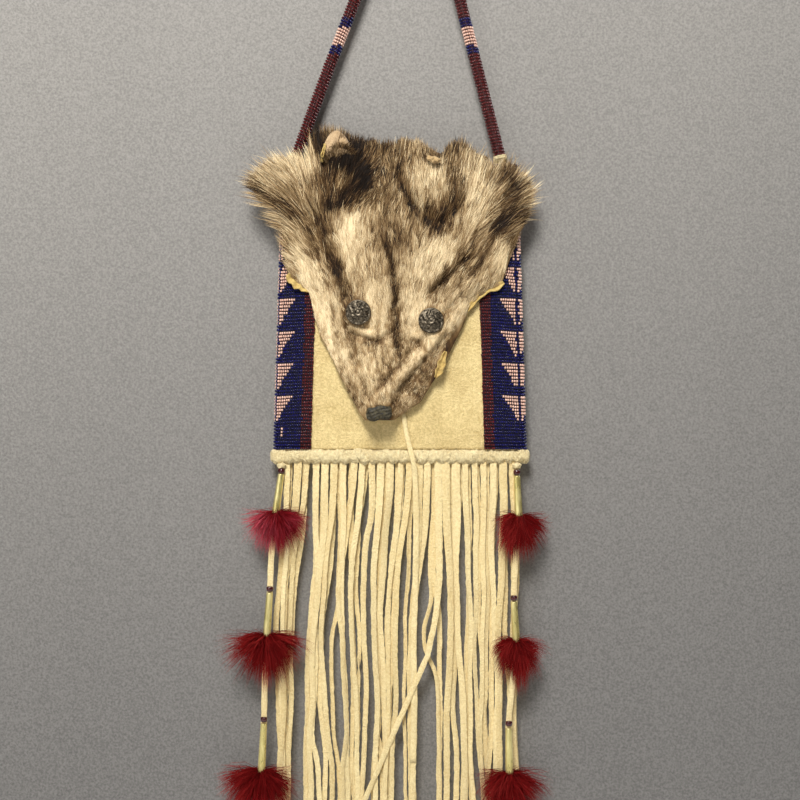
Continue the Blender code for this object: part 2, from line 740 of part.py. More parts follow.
# Each dangle's thong: places (to the right, towards the front, down) from where it leaves the roll's
# underside.
LEFT_ROUTE = [(0.0000, 0.0044, 0.0070), (-0.0045, DANGLE_Y, 0.0417), (-0.0080, DANGLE_Y, 0.0760),
              (-0.0092, DANGLE_Y, 0.1043), (-0.0120, DANGLE_Y, 0.1442), (-0.0136, DANGLE_Y, 0.1820),
              (-0.0142, DANGLE_Y, 0.2130), (-0.0163, DANGLE_Y, 0.2567), (-0.0170, DANGLE_Y, 0.2920)]
RIGHT_ROUTE = [(-0.0001, 0.0044, 0.0100), (0.0012, DANGLE_Y, 0.0450), (-0.0015, DANGLE_Y, 0.0800),
               (-0.0030, DANGLE_Y, 0.1118), (-0.0009, DANGLE_Y, 0.1484), (-0.0045, DANGLE_Y, 0.1860),
               (-0.0072, DANGLE_Y, 0.2164), (-0.0066, DANGLE_Y, 0.2593), (-0.0064, DANGLE_Y, 0.2940)]
# Each stage, down from the roll's underside: bead centre, cone top, cone base and fluff base; then
# how far the fluff reaches to the left and to the right.
LEFT_STAGES = [(0.0062, 0.0090, 0.0417, 0.0778, 0.0300, 0.0270),
               (0.1043, 0.1075, 0.1442, 0.1887, 0.0410, 0.0330),
               (0.2130, 0.2164, 0.2567, 0.3050, 0.0350, 0.0320)]
RIGHT_STAGES = [(0.0074, 0.0105, 0.0450, 0.0829, 0.0220, 0.0250),
                (0.1118, 0.1150, 0.1484, 0.1895, 0.0190, 0.0250),
                (0.2164, 0.2203, 0.2593, 0.3070, 0.0270, 0.0340)]


def place_on(path, z):
    """The point of a hanging thong at a height, and its direction."""
    for a, b in zip(path, path[1:]):
        if b.z <= z:
            return a.lerp(b, (a.z - z) / (a.z - b.z)), (a - b).normalized()
    return path[-1].copy(), (path[-2] - path[-1]).normalized()


def build_dangle(label, x, route, stages, materials):
    """A thong with three beads, three rolled metal cones and three fluffs."""
    points = [(x + right, -front, ROLL_BOTTOM - down) for right, front, down in route]
    path = smooth_path([dangle_start(x)] + points, DANGLE_POINTS)
    tube(f"dangle_{label}_thong", path, DANGLE_THONG, 2, materials["buckskin"])
    hole = DANGLE_THONG / 2 + CLEAR
    for n, stage in enumerate(stages):
        bead_z, cone_top, cone_base, fluff_base = [ROLL_BOTTOM - down for down in stage[:4]]
        reach_left, reach_right = stage[4:]
        centre, axis = place_on(path, bead_z)
        half = DANGLE_BEAD / 2
        tall = DANGLE_BEAD * 0.36
        outer = [ring(centre + axis * rise, axis, reach, reach, DANGLE_SIDES)
                 for rise, reach in ((tall, half * 0.78), (tall * 0.5, half), (-tall * 0.5, half),
                                     (-tall, half * 0.78))]
        inner = [ring(centre + axis * rise, axis, hole, hole, DANGLE_SIDES) for rise in (tall, -tall)]
        sleeve(f"dangle_{label}_bead_{n + 1}", outer, inner, materials["oxblood"])
        top, axis = place_on(path, cone_top)
        base, _ = place_on(path, cone_base)
        outer = [ring(top, axis, CONE_TOP / 2, CONE_TOP / 2, DANGLE_SIDES),
                 ring(base, axis, CONE_BASE / 2, CONE_BASE / 2, DANGLE_SIDES)]
        inner = [ring(top, axis, CONE_TOP / 2 - CONE_WALL, CONE_TOP / 2 - CONE_WALL, DANGLE_SIDES),
                 ring(base, axis, CONE_BASE / 2 - CONE_WALL, CONE_BASE / 2 - CONE_WALL, DANGLE_SIDES)]
        sleeve(f"dangle_{label}_cone_{n + 1}", outer, inner, materials["brass"], smooth=False)
        outer = []
        inner = []
        lean = math.sqrt(1 - axis.z ** 2)
        fluff_top = base.z - CLEAR - CONE_BASE / 2 * lean
        for share, full in ((0.0, 0.10), (0.16, 0.42), (0.42, 0.86), (0.70, 1.0), (0.90, 0.72),
                            (1.0, 0.34)):
            z = fluff_top + (fluff_base - fluff_top) * share
            centre, _ = place_on(path, z)
            loop = []
            bore = []
            for k in range(FLUFF_SIDES):
                turn = 2 * math.pi * (k + 0.5) / FLUFF_SIDES
                side = math.cos(turn) * (reach_right if math.cos(turn) > 0 else reach_left) * full
                deep = math.sin(turn)
                deep = deep * (FLUFF_FRONT * full if deep < 0 else max(0.0024, FLUFF_BACK * full))
                loop.append((centre.x + side, centre.y + deep, z))
                bore.append((centre.x + hole * math.cos(turn), centre.y + hole * math.sin(turn), z))
            outer.append(loop)
            inner.append(bore)
        sleeve(f"dangle_{label}_fluff_{n + 1}", outer, inner, materials["fluff"])


def build_tie(material):
    """The tie thong: out of the front panel under the muzzle, over the roll and down the fringe."""
    radius = TIE_DIAMETER / 2

    def over_panel(x, z):
        inset = flat_half(z) - abs(x - CENTRE_X)
        return (x, -skin(z, inset, True) - radius - CLEAR, z)

    over_roll = -(ROLL_DEPTH / 2 + STITCH_SWELL + radius + CLEAR)
    hang = -(LAYER_MIDDLE + FRINGE_HIDE / 2 + radius + CLEAR)
    route = [over_panel(-0.0060, BASE_Z + 0.0330), over_panel(-0.0048, BASE_Z + 0.0250),
             over_panel(-0.0034, BASE_Z + 0.0150), (0.0000, over_roll, BASE_Z + 0.0010),
             (0.0018, over_roll, ROLL_Z), (0.0030, over_roll + 0.0004, ROLL_BOTTOM - 0.0005),
             (0.0042, hang - 0.0010, ROLL_BOTTOM - 0.0150), (0.0052, hang, ROLL_BOTTOM - 0.0500),
             (0.0045, hang, ROLL_BOTTOM - 0.1000), (0.0030, hang, ROLL_BOTTOM - 0.1500),
             (0.0036, hang, ROLL_BOTTOM - 0.2000), (0.0025, hang, ROLL_BOTTOM - 0.2500)]
    return tube("tie_thong", smooth_path(route, TIE_POINTS), TIE_DIAMETER, 2, material)


def build():
    """Make every piece of the bag."""
    for item in list(bpy.data.objects):
        bpy.data.objects.remove(item)
    materials = {
        "buckskin": make_material("buckskin", (0.80, 0.66, 0.40), 0.90),
        "navy": make_material("navy_beads", (0.015, 0.018, 0.110), 0.25),
        "oxblood": make_material("oxblood_beads", (0.110, 0.020, 0.022), 0.25),
        "pink": make_material("pink_beads", (0.700, 0.360, 0.290), 0.35),
        "fur": make_material("fur", (0.36, 0.29, 0.21), 0.85),
        "pewter": make_material("pewter", (0.11, 0.10, 0.09), 0.45, 0.85),
        "nose": make_material("nose_leather", (0.045, 0.055, 0.045), 0.60),
        "brass": make_material("pale_brass", (0.62, 0.55, 0.28), 0.30, 1.0),
        "fluff": make_material("red_fluff", (0.34, 0.010, 0.025), 0.85),
        "strap": make_material("strap_beads", (0.120, 0.026, 0.026), 0.30),
    }
    build_panel("front_panel", True, materials["buckskin"])
    build_panel("back_panel", False, materials["buckskin"])
    build_beadwork(-1, "left", LEFT_SHIFT, materials["navy"], materials["oxblood"], materials["pink"])
    build_beadwork(1, "right", RIGHT_SHIFT, materials["navy"], materials["oxblood"], materials["pink"])
    build_roll(materials["buckskin"])
    build_fringe("fringe_front", -LAYER_MIDDLE, FRONT_THONGS, 0.6, materials["buckskin"])
    build_fringe("fringe_back", LAYER_MIDDLE, BACK_THONGS, 3.9, materials["buckskin"])
    build_tab("strap_tab_left", LEFT_TAB_X, LEFT_LEAN, materials["buckskin"])
    build_tab("strap_tab_right", RIGHT_TAB_X, RIGHT_LEAN, materials["buckskin"])
    tube("beaded_strap", smooth_path(strap_route(), STRAP_POINTS), STRAP_DIAMETER, 3,
         materials["strap"])
    build_tie(materials["buckskin"])
    build_flap(materials["fur"])
    build_button("button_left", LEFT_EYE, materials["pewter"])
    build_button("button_right", RIGHT_EYE, materials["pewter"])
    build_nose(materials["nose"])
    build_dangle("left", LEFT_DANGLE_X, LEFT_ROUTE, LEFT_STAGES, materials)
    build_dangle("right", RIGHT_DANGLE_X, RIGHT_ROUTE, RIGHT_STAGES, materials)


build()
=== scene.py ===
# %% [markdown]
# # A beaded medicine bag
# A flat buckskin pouch hangs by a beaded rope. Woven seed beads wrap its two sides, a furred head
# skin is its flap, and long fringe hangs from a whip-stitched roll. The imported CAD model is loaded
# first: it is the frame that each piece is fitted to.

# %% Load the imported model
import math

import bmesh
import bpy
import numpy as np
from mathutils import Matrix, Vector


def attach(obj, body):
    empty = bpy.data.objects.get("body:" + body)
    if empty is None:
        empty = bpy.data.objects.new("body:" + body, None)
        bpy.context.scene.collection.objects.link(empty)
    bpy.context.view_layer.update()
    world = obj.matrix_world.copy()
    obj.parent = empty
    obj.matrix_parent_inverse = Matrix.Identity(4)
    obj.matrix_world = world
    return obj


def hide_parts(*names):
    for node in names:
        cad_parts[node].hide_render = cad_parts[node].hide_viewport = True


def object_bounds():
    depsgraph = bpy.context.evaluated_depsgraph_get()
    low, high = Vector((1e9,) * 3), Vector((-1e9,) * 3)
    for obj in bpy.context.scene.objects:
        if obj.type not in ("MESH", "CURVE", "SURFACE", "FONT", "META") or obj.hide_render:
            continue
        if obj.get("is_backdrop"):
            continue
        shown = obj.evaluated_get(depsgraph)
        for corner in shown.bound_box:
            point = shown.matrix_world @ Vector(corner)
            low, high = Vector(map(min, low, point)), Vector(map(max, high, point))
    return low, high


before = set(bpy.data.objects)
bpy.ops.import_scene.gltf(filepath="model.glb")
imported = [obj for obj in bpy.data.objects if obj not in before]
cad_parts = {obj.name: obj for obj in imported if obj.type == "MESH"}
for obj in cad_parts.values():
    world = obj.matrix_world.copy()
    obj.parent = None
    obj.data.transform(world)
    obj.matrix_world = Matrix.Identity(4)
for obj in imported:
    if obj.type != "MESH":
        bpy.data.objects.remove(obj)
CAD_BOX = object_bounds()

# %% [markdown]
# The pouch's sizes are those of the CAD model, so that a piece made here lies where its solid
# lies. All of them are in metres, with +Z up, and the bag's front faces -Y.

# %% The bag's sizes
CLEAR = 0.0003
CENTRE_X = -0.0084
MOUTH_Z = -0.2290
BODY_HEIGHT = 0.2395
BODY_TOP_WIDTH = 0.1990
BODY_BASE_WIDTH = 0.2134
HIDE = 0.0012
EDGE_RADIUS = 0.0035
MOUTH_BULGE = 0.0055
FRONT_BULGE = 0.0050
BACK_BULGE = 0.0030
BEAD = 0.0022
NAVY_HALF = 0.0225
CENTRE_LINE_HALF = 0.0015
STRIPE_WIDTH = 0.0084
SIDE_SHIFT = {"left": 0.0030, "right": 0.0070}
TRIANGLE_COUNT = 8
TRIANGLE_PITCH = 0.0269
TRIANGLE_WIDTH = 0.0138
TRIANGLE_HEIGHT = 0.0205
TRIANGLE_TOP = 0.0060
ROLL_HEIGHT = 0.0112
ROLL_DEPTH = 0.0116
ROLL_OVERHANG = 0.0022
STRIP_REACH = EDGE_RADIUS + CLEAR + BEAD
STRIP_MIDDLE = EDGE_RADIUS + CLEAR + BEAD / 2
QUARTER = math.pi / 2 * STRIP_MIDDLE
BASE_Z = MOUTH_Z - BODY_HEIGHT
ROLL_Z = BASE_Z - CLEAR - ROLL_HEIGHT / 2
ROLL_BOTTOM = ROLL_Z - ROLL_HEIGHT / 2
HINGE_Y = EDGE_RADIUS - HIDE / 2
HINGE_Z = MOUTH_Z + CLEAR + 0.0015
print("base of the pouch at z =", round(BASE_Z, 4))


def flat_half(z):
    """Half of the width between the two rounded sides, at a height."""
    share = (MOUTH_Z - z) / BODY_HEIGHT
    width = BODY_TOP_WIDTH + (BODY_BASE_WIDTH - BODY_TOP_WIDTH) * share
    return width / 2 - STRIP_REACH


def skin(z, inset, front):
    """Distance of a panel's outer face from the middle plane, at an inset from the side."""
    share = np.clip((MOUTH_Z - z) / BODY_HEIGHT, 0, 1)
    hollow = 4 * share * (1 - share)
    bulge = MOUTH_BULGE * (1 - share) + FRONT_BULGE * hollow if front else BACK_BULGE * hollow
    across = np.clip(inset / flat_half(z), 0, 1)
    return EDGE_RADIUS + bulge * np.sin(math.pi / 2 * across) ** 2


def strip_point(side, s, z, lift):
    """A point on a side's beadwork: s runs round the side, from the back (minus) to the front."""
    flat = flat_half(z)
    turn = np.clip(s, -QUARTER, QUARTER) / STRIP_MIDDLE
    inset = np.maximum(np.abs(s) - QUARTER, 0)
    round_x = flat + (EDGE_RADIUS + lift) * np.cos(turn)
    round_y = -(EDGE_RADIUS + lift) * np.sin(turn)
    deep = np.where(s > 0, skin(z, inset, True), skin(z, inset, False)) + lift
    x = np.where(inset > 0, flat - inset, round_x)
    y = np.where(inset > 0, -np.sign(s) * deep, round_y)
    return np.stack([CENTRE_X + side * x, y, z + 0 * x], axis=-1)


def smoothstep(low, high, value):
    """0 below low, 1 above high and a soft rise between them."""
    t = np.clip((value - low) / (high - low), 0, 1)
    return t * t * (3 - 2 * t)


# %% [markdown]
# ## Camera and light
# The camera looks straight at the front, as in a catalogue photograph of something that hangs on
# a wall. The view is 672 mm wide at the bag, and the strap's top and the fringe's end lie outside
# it.

# %% The camera
PIXEL = 0.00084
VIEW_WIDTH = 800 * PIXEL
ZERO_COLUMN = 410  # the picture's column at x = 0
CREST_Z = 0.005  # the strap's top, so many pixels above the picture
CREST_ABOVE = 114
camera_data = bpy.data.cameras.new("camera")
camera_data.lens = 58.9
camera_data.sensor_width = 36
camera = bpy.data.objects.new("camera", camera_data)
bpy.context.collection.objects.link(camera)
CAMERA_HEIGHT = -0.4268
CAMERA_DISTANCE = VIEW_WIDTH / 2 / math.tan(math.atan(18 / camera_data.lens))
camera.location = (CENTRE_X, -CAMERA_DISTANCE, CAMERA_HEIGHT)
camera.rotation_euler = (math.pi / 2, 0, 0)
bpy.context.scene.camera = camera
bpy.context.scene.view_settings.view_transform = "Standard"
print("camera", round(CAMERA_DISTANCE, 3), "m in front of the bag")


def seen_at(px, py):
    """Where a point of the 800 x 800 picture lies in the bag's plane: (x, z)."""
    return (px - ZERO_COLUMN) * PIXEL, CREST_Z - (py + CREST_ABOVE) * PIXEL


# %% [markdown]
# ## Finishes
# A finish is written as arithmetic. A Wire is one output of a shader node, and its operators add
# Math nodes, so that a mottled colour reads like the sum that it is.

# %% A small language for finishes
class Wire:
    """One output of a shader node, ready for arithmetic."""

    def __init__(self, finish, socket):
        self.finish = finish
        self.socket = socket

    def maths(self, operation, other, swapped=False):
        pair = (other, self) if swapped else (self, other)
        return self.finish.node("ShaderNodeMath", {"operation": operation}, dict(enumerate(pair)))

    def __add__(self, other):
        return self.maths("ADD", other)

    def __radd__(self, other):
        return self.maths("ADD", other, True)

    def __sub__(self, other):
        return self.maths("SUBTRACT", other)

    def __rsub__(self, other):
        return self.maths("SUBTRACT", other, True)

    def __mul__(self, other):
        return self.maths("MULTIPLY", other)

    def __rmul__(self, other):
        return self.maths("MULTIPLY", other, True)


class Finish:
    """A material that is being written."""

    def __init__(self, name, **constants):
        self.material = bpy.data.materials.new(name)
        self.material.use_nodes = True
        self.tree = self.material.node_tree
        self.shader = self.tree.nodes["Principled BSDF"]
        for key, value in constants.items():
            self.set(key.replace("_", " ").title(), value)

    def put(self, socket, value):
        if isinstance(value, Wire):
            self.tree.links.new(value.socket, socket)
        elif hasattr(value, "__len__") and len(value) == 3 and socket.type == "RGBA":
            socket.default_value = (*value, 1)
        else:
            socket.default_value = value

    def set(self, name, value):
        """Give one of the Principled shader's sockets a value or a wire."""
        name = name.replace("Ior", "IOR")
        self.put(self.shader.inputs[name], value)
        return self

    def node(self, kind, settings=None, inputs=None, output=0):
        """Add a node: its settings first, then the values or wires of its sockets."""
        node = self.tree.nodes.new(kind)
        for key, value in (settings or {}).items():
            if key == "stops":
                ramp = node.color_ramp
                while len(ramp.elements) < len(value):
                    ramp.elements.new(0.5)
                for element, (place, tint) in zip(ramp.elements, value):
                    element.position = place
                    element.color = (*tint, 1)
            else:
                setattr(node, key, value)
        for key, value in (inputs or {}).items():
            self.put(node.inputs[key], value)
        return Wire(self, node.outputs[output])

    def place(self, stretch=(1, 1, 1)):
        """Object coordinates, stretched."""
        where = self.node("ShaderNodeTexCoord", output=3)
        return self.node("ShaderNodeMapping", None, {"Vector": where, "Scale": stretch})

    def noise(self, scale, detail=2.0, roughness=0.5, stretch=(1, 1, 1)):
        """Soft noise from 0 to 1, with so many cells in a metre."""
        return self.node("ShaderNodeTexNoise", None, {
            "Vector": self.place(stretch), "Scale": scale, "Detail": detail,
            "Roughness": roughness})

    def spread(self, value, low, high):
        """Stretch the part of a value between low and high to 0..1."""
        return self.node("ShaderNodeMapRange", {"interpolation_type": "SMOOTHSTEP"},
                         {"Value": value, "From Min": low, "From Max": high})

    def mix(self, share, a, b):
        """A colour between two colours."""
        return self.node("ShaderNodeMix", {"data_type": "RGBA"},
                         {0: share, 6: a, 7: b}, output=2)

    def attribute(self, name):
        """A number that the mesh carries at each of its vertices."""
        return self.node("ShaderNodeAttribute", {"attribute_name": name}, output=2)

    def tint(self, share, a, b):
        """Colour the surface between two colours."""
        return self.set("Base Color", self.mix(share, a, b))

    def relief(self, height, distance, strength=1.0):
        """Raise the surface by a height, as far as a distance in metres."""
        return self.set("Normal", self.node("ShaderNodeBump", None, {
            "Height": height, "Distance": distance, "Strength": strength}))


# %% [markdown]
# The studio has a plain pale floor, a wall behind the bag and soft lamps. The wall's colour is
# painted darker towards the bottom and the right, a painted falloff of the lamps' light. The wall
# shows only to a camera in front of it, so that the bag's back can be looked at too.

# %% Floor, wall and lamps
FLOOR_Z = -0.95
WALL_Y = 0.0120


def stage_plane(name, corners, finish):
    bm = bmesh.new()
    bm.faces.new([bm.verts.new(corner) for corner in corners])
    mesh = bpy.data.meshes.new(name)
    bm.to_mesh(mesh)
    bm.free()
    mesh.materials.append(finish.material)
    item = bpy.data.objects.new(name, mesh)
    bpy.context.collection.objects.link(item)
    item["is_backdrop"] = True
    return item


floor_finish = Finish("floor_finish", roughness=0.9)
floor_finish.tint(floor_finish.noise(3.0), (0.70, 0.69, 0.67), (0.74, 0.73, 0.71))
stage_plane("floor", [(-4, -4, FLOOR_Z), (4, -4, FLOOR_Z), (4, 4, FLOOR_Z), (-4, 4, FLOOR_Z)],
            floor_finish)

wall_finish = Finish("wall_finish", roughness=0.95, specular_ior_level=0.1)
wall_height = wall_finish.node("ShaderNodeSeparateXYZ", None, {0: wall_finish.place()}, output=2)
wall_across = wall_finish.node("ShaderNodeSeparateXYZ", None, {0: wall_finish.place()}, output=0)
# Painted light: brighter at the top and left, darker towards the bottom and right, as falloff.
wall_painted_falloff = wall_finish.spread(wall_height - wall_across * 0.18, -0.85, 0.05)
wall_grain = wall_finish.spread(wall_finish.noise(520.0, 3.0, 0.7), 0.25, 0.75)
wall_cloud = wall_finish.noise(7.0, 2.0, stretch=(1, 1, 0.12))
wall_tone = wall_grain * 0.80 + wall_cloud * 0.20
wall_painted_shade_tint = wall_finish.mix(wall_tone, (0.112, 0.107, 0.101), (0.228, 0.218, 0.205))
wall_painted_lit_tint = wall_finish.mix(wall_tone, (0.190, 0.180, 0.165), (0.335, 0.316, 0.287))
wall_finish.tint(wall_painted_falloff, wall_painted_shade_tint, wall_painted_lit_tint)
wall_finish.relief(wall_grain, 0.0004, 0.5)
wall_seen = wall_finish.node("ShaderNodeLightPath", output=0)
wall_behind = wall_finish.node("ShaderNodeNewGeometry", output=6)
wall_clear = wall_finish.node("ShaderNodeBsdfTransparent")
wall_mixed = wall_finish.node("ShaderNodeMixShader", None, {
    0: wall_seen * (1 - wall_behind), 1: wall_clear,
    2: Wire(wall_finish, wall_finish.shader.outputs[0])})
wall_finish.put(wall_finish.tree.nodes["Material Output"].inputs[0], wall_mixed)
stage_plane("wall", [(-4, WALL_Y, FLOOR_Z), (4, WALL_Y, FLOOR_Z), (4, WALL_Y, 2.5),
                     (-4, WALL_Y, 2.5)], wall_finish)


def lamp(name, place, target, size, power):
    """A square soft lamp that looks at a target."""
    data = bpy.data.lights.new(name, "AREA")
    data.size = size
    data.energy = power
    item = bpy.data.objects.new(name, data)
    item.location = place
    item.rotation_euler = (Vector(target) - Vector(place)).to_track_quat("-Z", "Y").to_euler()
    bpy.context.collection.objects.link(item)


lamp("key", (-0.26, -1.45, 1.00), (0, 0, -0.42), 0.62, 60)
lamp("fill", (-1.3, -1.6, -0.2), (0, 0, -0.42), 1.0, 5)
lamp("back", (0.9, 1.6, 0.7), (0, 0, -0.42), 1.2, 22)
world = bpy.data.worlds.new("hall")
world.use_nodes = True
world.node_tree.nodes["Background"].inputs[0].default_value = (0.80, 0.80, 0.82, 1)
world.node_tree.nodes["Background"].inputs[1].default_value = 0.13
bpy.context.scene.world = world

# %% [markdown]
# Buckskin is smoke-tanned deer hide: pale yellow cream, matt, with a short nap. Large soft blotches
# and a fine grain change its colour, and the bump is the nap.


# %% The buckskin finish
def buckskin(name, pale, deep, nap=0.00022, hue=False):
    """Suede between two tints, with blotches, a fine grain and a bumpy nap."""
    finish = Finish(name, roughness=0.92, specular_ior_level=0.2, sheen_weight=0.15,
                    sheen_roughness=0.5)
    blotches = finish.spread(finish.noise(45.0, 4.0, 0.65), 0.34, 0.66)
    grain = finish.spread(finish.noise(560.0, 3.0, 0.65), 0.32, 0.68)
    fine = finish.spread(finish.noise(1500.0, 2.0, 0.6), 0.30, 0.70)
    share = blotches * 0.26 + grain * 0.46 + fine * 0.28
    if hue:
        share = share * 0.74 + finish.attribute("hue") * 0.26
    finish.tint(share, deep, pale)
    finish.relief(grain * 0.65 + fine * 0.35, nap)
    finish.set("Roughness", 0.86 + grain * 0.1)
    return finish


panel_finish = buckskin("panel_buckskin", (0.920, 0.730, 0.355), (0.500, 0.350, 0.130), nap=0.0006)
thong_finish = buckskin("thong_buckskin", (1.0, 0.840, 0.465), (0.660, 0.475, 0.200), nap=0.0006,
                        hue=True)
roll_finish = buckskin("roll_buckskin", (0.995, 0.855, 0.500), (0.640, 0.475, 0.220), nap=0.0009)
print("finishes so far:", len(bpy.data.materials))

# %% [markdown]
# ## Shared helpers
# Most pieces are rings that a circle is extruded through, or a grid that is bent to a surface.


# %% Making and placing meshes
def keep(name, bm, finish, body="bag"):
    """Turn a bmesh into a finished object that rides on a body."""
    bmesh.ops.recalc_face_normals(bm, faces=bm.faces)
    mesh = bpy.data.meshes.new(name)
    bm.to_mesh(mesh)
    bm.free()
    return keep_mesh(name, mesh, finish, body)


def keep_mesh(name, mesh, finish, body="bag"):
    """Give a mesh its finish, smooth shading and body."""
    mesh.materials.append(finish.material)
    mesh.polygons.foreach_set("use_smooth", [True] * len(mesh.polygons))
    item = bpy.data.objects.new(name, mesh)
    bpy.context.collection.objects.link(item)
    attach(item, body)
    return item


def rings_to_bm(rings, capped=True):
    """Extrude a circle from ring to ring. Each ring is a list of points."""
    bm = bmesh.new()
    made = bmesh.ops.create_circle(bm, cap_ends=capped, segments=len(rings[0]), radius=1.0)
    loop = made["verts"]
    for vert, place in zip(loop, rings[0]):
        vert.co = place
    for ring in rings[1:]:
        edges = [bm.edges.get((a, b)) for a, b in zip(loop, loop[1:] + loop[:1])]
        grown = bmesh.ops.extrude_edge_only(bm, edges=edges)["geom"]
        new = {item for item in grown if isinstance(item, bmesh.types.BMVert)}
        loop = [next(e.other_vert(vert) for e in vert.link_edges if e.other_vert(vert) in new)
                for vert in loop]
        for vert, place in zip(loop, ring):
            vert.co = place
    if capped:
        bmesh.ops.contextual_create(bm, geom=loop)
    return bm


def oval(centre, axis, reach_right, reach_other, count, turn=0.0):
    """A ring of points round an axis that runs mostly up or down."""
    axis = Vector(axis).normalized()
    right = Vector((1, 0, 0))
    right = (right - axis * right.dot(axis)).normalized()
    other = axis.cross(right)
    points = []
    for k in range(count):
        angle = 2 * math.pi * k / count + turn
        points.append(Vector(centre) + right * (reach_right * math.cos(angle))
                      + other * (reach_other * math.sin(angle)))
    return points


def bent_grid(columns, rows, shape, bm=None):
    """A grid whose vertices go to shape(u, v), with u and v from 0 to 1."""
    bm = bm or bmesh.new()
    made = bmesh.ops.create_grid(bm, x_segments=columns, y_segments=rows, size=1.0)
    verts = made["verts"]
    u = np.array([(vert.co.x + 1) / 2 for vert in verts])
    v = np.array([(vert.co.y + 1) / 2 for vert in verts])
    for vert, place in zip(verts, shape(u, v)):
        vert.co = place
    return bm


def thicken(item, thickness, offset=-1.0):
    """Give a sheet its thickness with a Solidify modifier."""
    modifier = item.modifiers.new("thickness", "SOLIDIFY")
    modifier.thickness = thickness
    modifier.offset = offset
    modifier.use_even_offset = False
    return item


def paint_hue(bm, hue):
    """Give vertices the hue, one for all or one each, that the thongs' finish reads."""
    layer = bm.verts.layers.float.new("hue")
    for vert, value in zip(bm.verts, np.broadcast_to(hue, len(bm.verts))):
        vert[layer] = value


def tell(*pieces):
    """Print what was made."""
    for piece in pieces:
        print(piece.name, len(piece.data.polygons), "faces")


def value_noise(x, y, seed):
    """Soft noise from 0 to 1 on numpy arrays."""
    table = np.random.default_rng(seed).random((128, 128))
    xi, yi = np.floor(x).astype(int), np.floor(y).astype(int)
    fx, fy = x - xi, y - yi
    fx, fy = fx * fx * (3 - 2 * fx), fy * fy * (3 - 2 * fy)
    xi, yi, xj, yj = xi % 128, yi % 128, (xi + 1) % 128, (yi + 1) % 128
    top = table[xi, yi] * (1 - fx) + table[xj, yi] * fx
    low = table[xi, yj] * (1 - fx) + table[xj, yj] * fx
    return top * (1 - fy) + low * fy


def smooth_path(points, count):
    """Evenly spaced points on a smooth curve through the route's own points."""
    route = [Vector(p) for p in points]
    route = [route[0] * 2 - route[1]] + route + [route[-1] * 2 - route[-2]]
    fine = []
    for a, b, c, d in zip(route, route[1:], route[2:], route[3:]):
        for k in range(24):
            t = k / 24
            fine.append(0.5 * ((2 * b) + (c - a) * t + (2 * a - 5 * b + 4 * c - d) * t * t
                               + (3 * b - a - 3 * c + d) * t * t * t))
    fine.append(route[-2])
    lengths = np.concatenate([[0], np.cumsum([(b - a).length for a, b in zip(fine, fine[1:])])])
    wanted = np.linspace(0, lengths[-1], count)
    fine = np.array(fine)
    return [Vector([np.interp(w, lengths, fine[:, i]) for i in range(3)]) for w in wanted]


def run_of(path):
    """The length of a path."""
    return sum((b - a).length for a, b in zip(path, path[1:]))


# %% [markdown]
# ## The strap
# The strap is a soft rope covered in seed beads. It goes up from the left tab, over the peg that
# the bag hangs on, and down to the right tab. The rope is a curve, and the beads are laid round it
# afterwards, one ring of thirteen after another.

# %% The strap's route and core
STRAP_DIAMETER = 0.0100
TAB_RISE = 0.0060
TAB_PLACES = {"left": (-0.0956, 0.36), "right": (0.0756, -0.25)}


def tab_top(side):
    """Where a tab meets the strap, and the strap's direction there."""
    x, lean = TAB_PLACES[side]
    return Vector((x, 0, MOUTH_Z + TAB_RISE)), Vector((lean, 0, 1)).normalized()


left_top, left_up = tab_top("left")
right_top, right_up = tab_top("right")
strap_start = left_top + left_up * CLEAR
strap_end = right_top + right_up * CLEAR
strap_path = smooth_path([
    strap_start, strap_start + left_up * 0.012, (-0.0700, 0, -0.1530), (-0.0462, 0, -0.0908),
    (-0.0290, 0, -0.0440), (-0.0188, 0, -0.0170), (-0.0130, 0, -0.0035),
    (0.0010, 0, STRAP_DIAMETER / 2), (0.0150, 0, -0.0020), (0.0222, 0, -0.0150),
    (0.0300, 0, -0.0440), (0.0420, 0, -0.0908), (0.0580, 0, -0.1540),
    strap_end + right_up * 0.012, strap_end], 40)
print("strap length", round(run_of(strap_path), 4))

rope_finish = Finish("rope_thread", roughness=0.85)
rope_finish.tint(rope_finish.noise(900.0), (0.020, 0.007, 0.007), (0.060, 0.022, 0.020))


def tube_curve(name, path, diameter, finish):
    """A cord as a curve of one open spline."""
    curve = bpy.data.curves.new(name, "CURVE")
    curve.dimensions = "3D"
    spline = curve.splines.new("POLY")
    spline.points.add(len(path) - 1)
    for knot, point in zip(spline.points, path):
        knot.co = (*point, 1)
    curve.bevel_depth = diameter / 2
    curve.bevel_resolution = 4
    curve.use_fill_caps = True
    curve.materials.append(finish.material)
    item = bpy.data.objects.new(name, curve)
    bpy.context.collection.objects.link(item)
    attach(item, "bag")
    return item


strap_core = tube_curve("strap_core", strap_path, STRAP_DIAMETER * 0.78, rope_finish)
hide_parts("beaded_strap")

# %% [markdown]
# ## Seed beads
# A seed bead is a short barrel of glass. One barrel with few faces is made with bmesh, and numpy
# copies it to every place, because the strips and the strap hold more than eight thousand.


# %% One bead, and a way to copy it
def bead_mesh():
    """A barrel of radius 1 and length 2 whose hole runs along X: (points, faces)."""
    bm = bmesh.new()
    bmesh.ops.create_uvsphere(bm, u_segments=8, v_segments=4, radius=1.0,
                              matrix=Matrix.Rotation(math.pi / 2, 4, "Y"))
    for vert in bm.verts:
        across = math.hypot(vert.co.y, vert.co.z)
        if 0.1 < across < 0.9:
            vert.co.y *= 0.84 / across
            vert.co.z *= 0.84 / across
            vert.co.x = math.copysign(0.66, vert.co.x)
        elif across <= 0.1:
            vert.co.x = math.copysign(0.86, vert.co.x)
    bmesh.ops.triangulate(bm, faces=bm.faces)
    bmesh.ops.recalc_face_normals(bm, faces=bm.faces)
    points = np.array([vert.co[:] for vert in bm.verts])
    bm.verts.index_update()
    faces = np.array([[vert.index for vert in face.verts] for face in bm.faces])
    bm.free()
    return points, faces


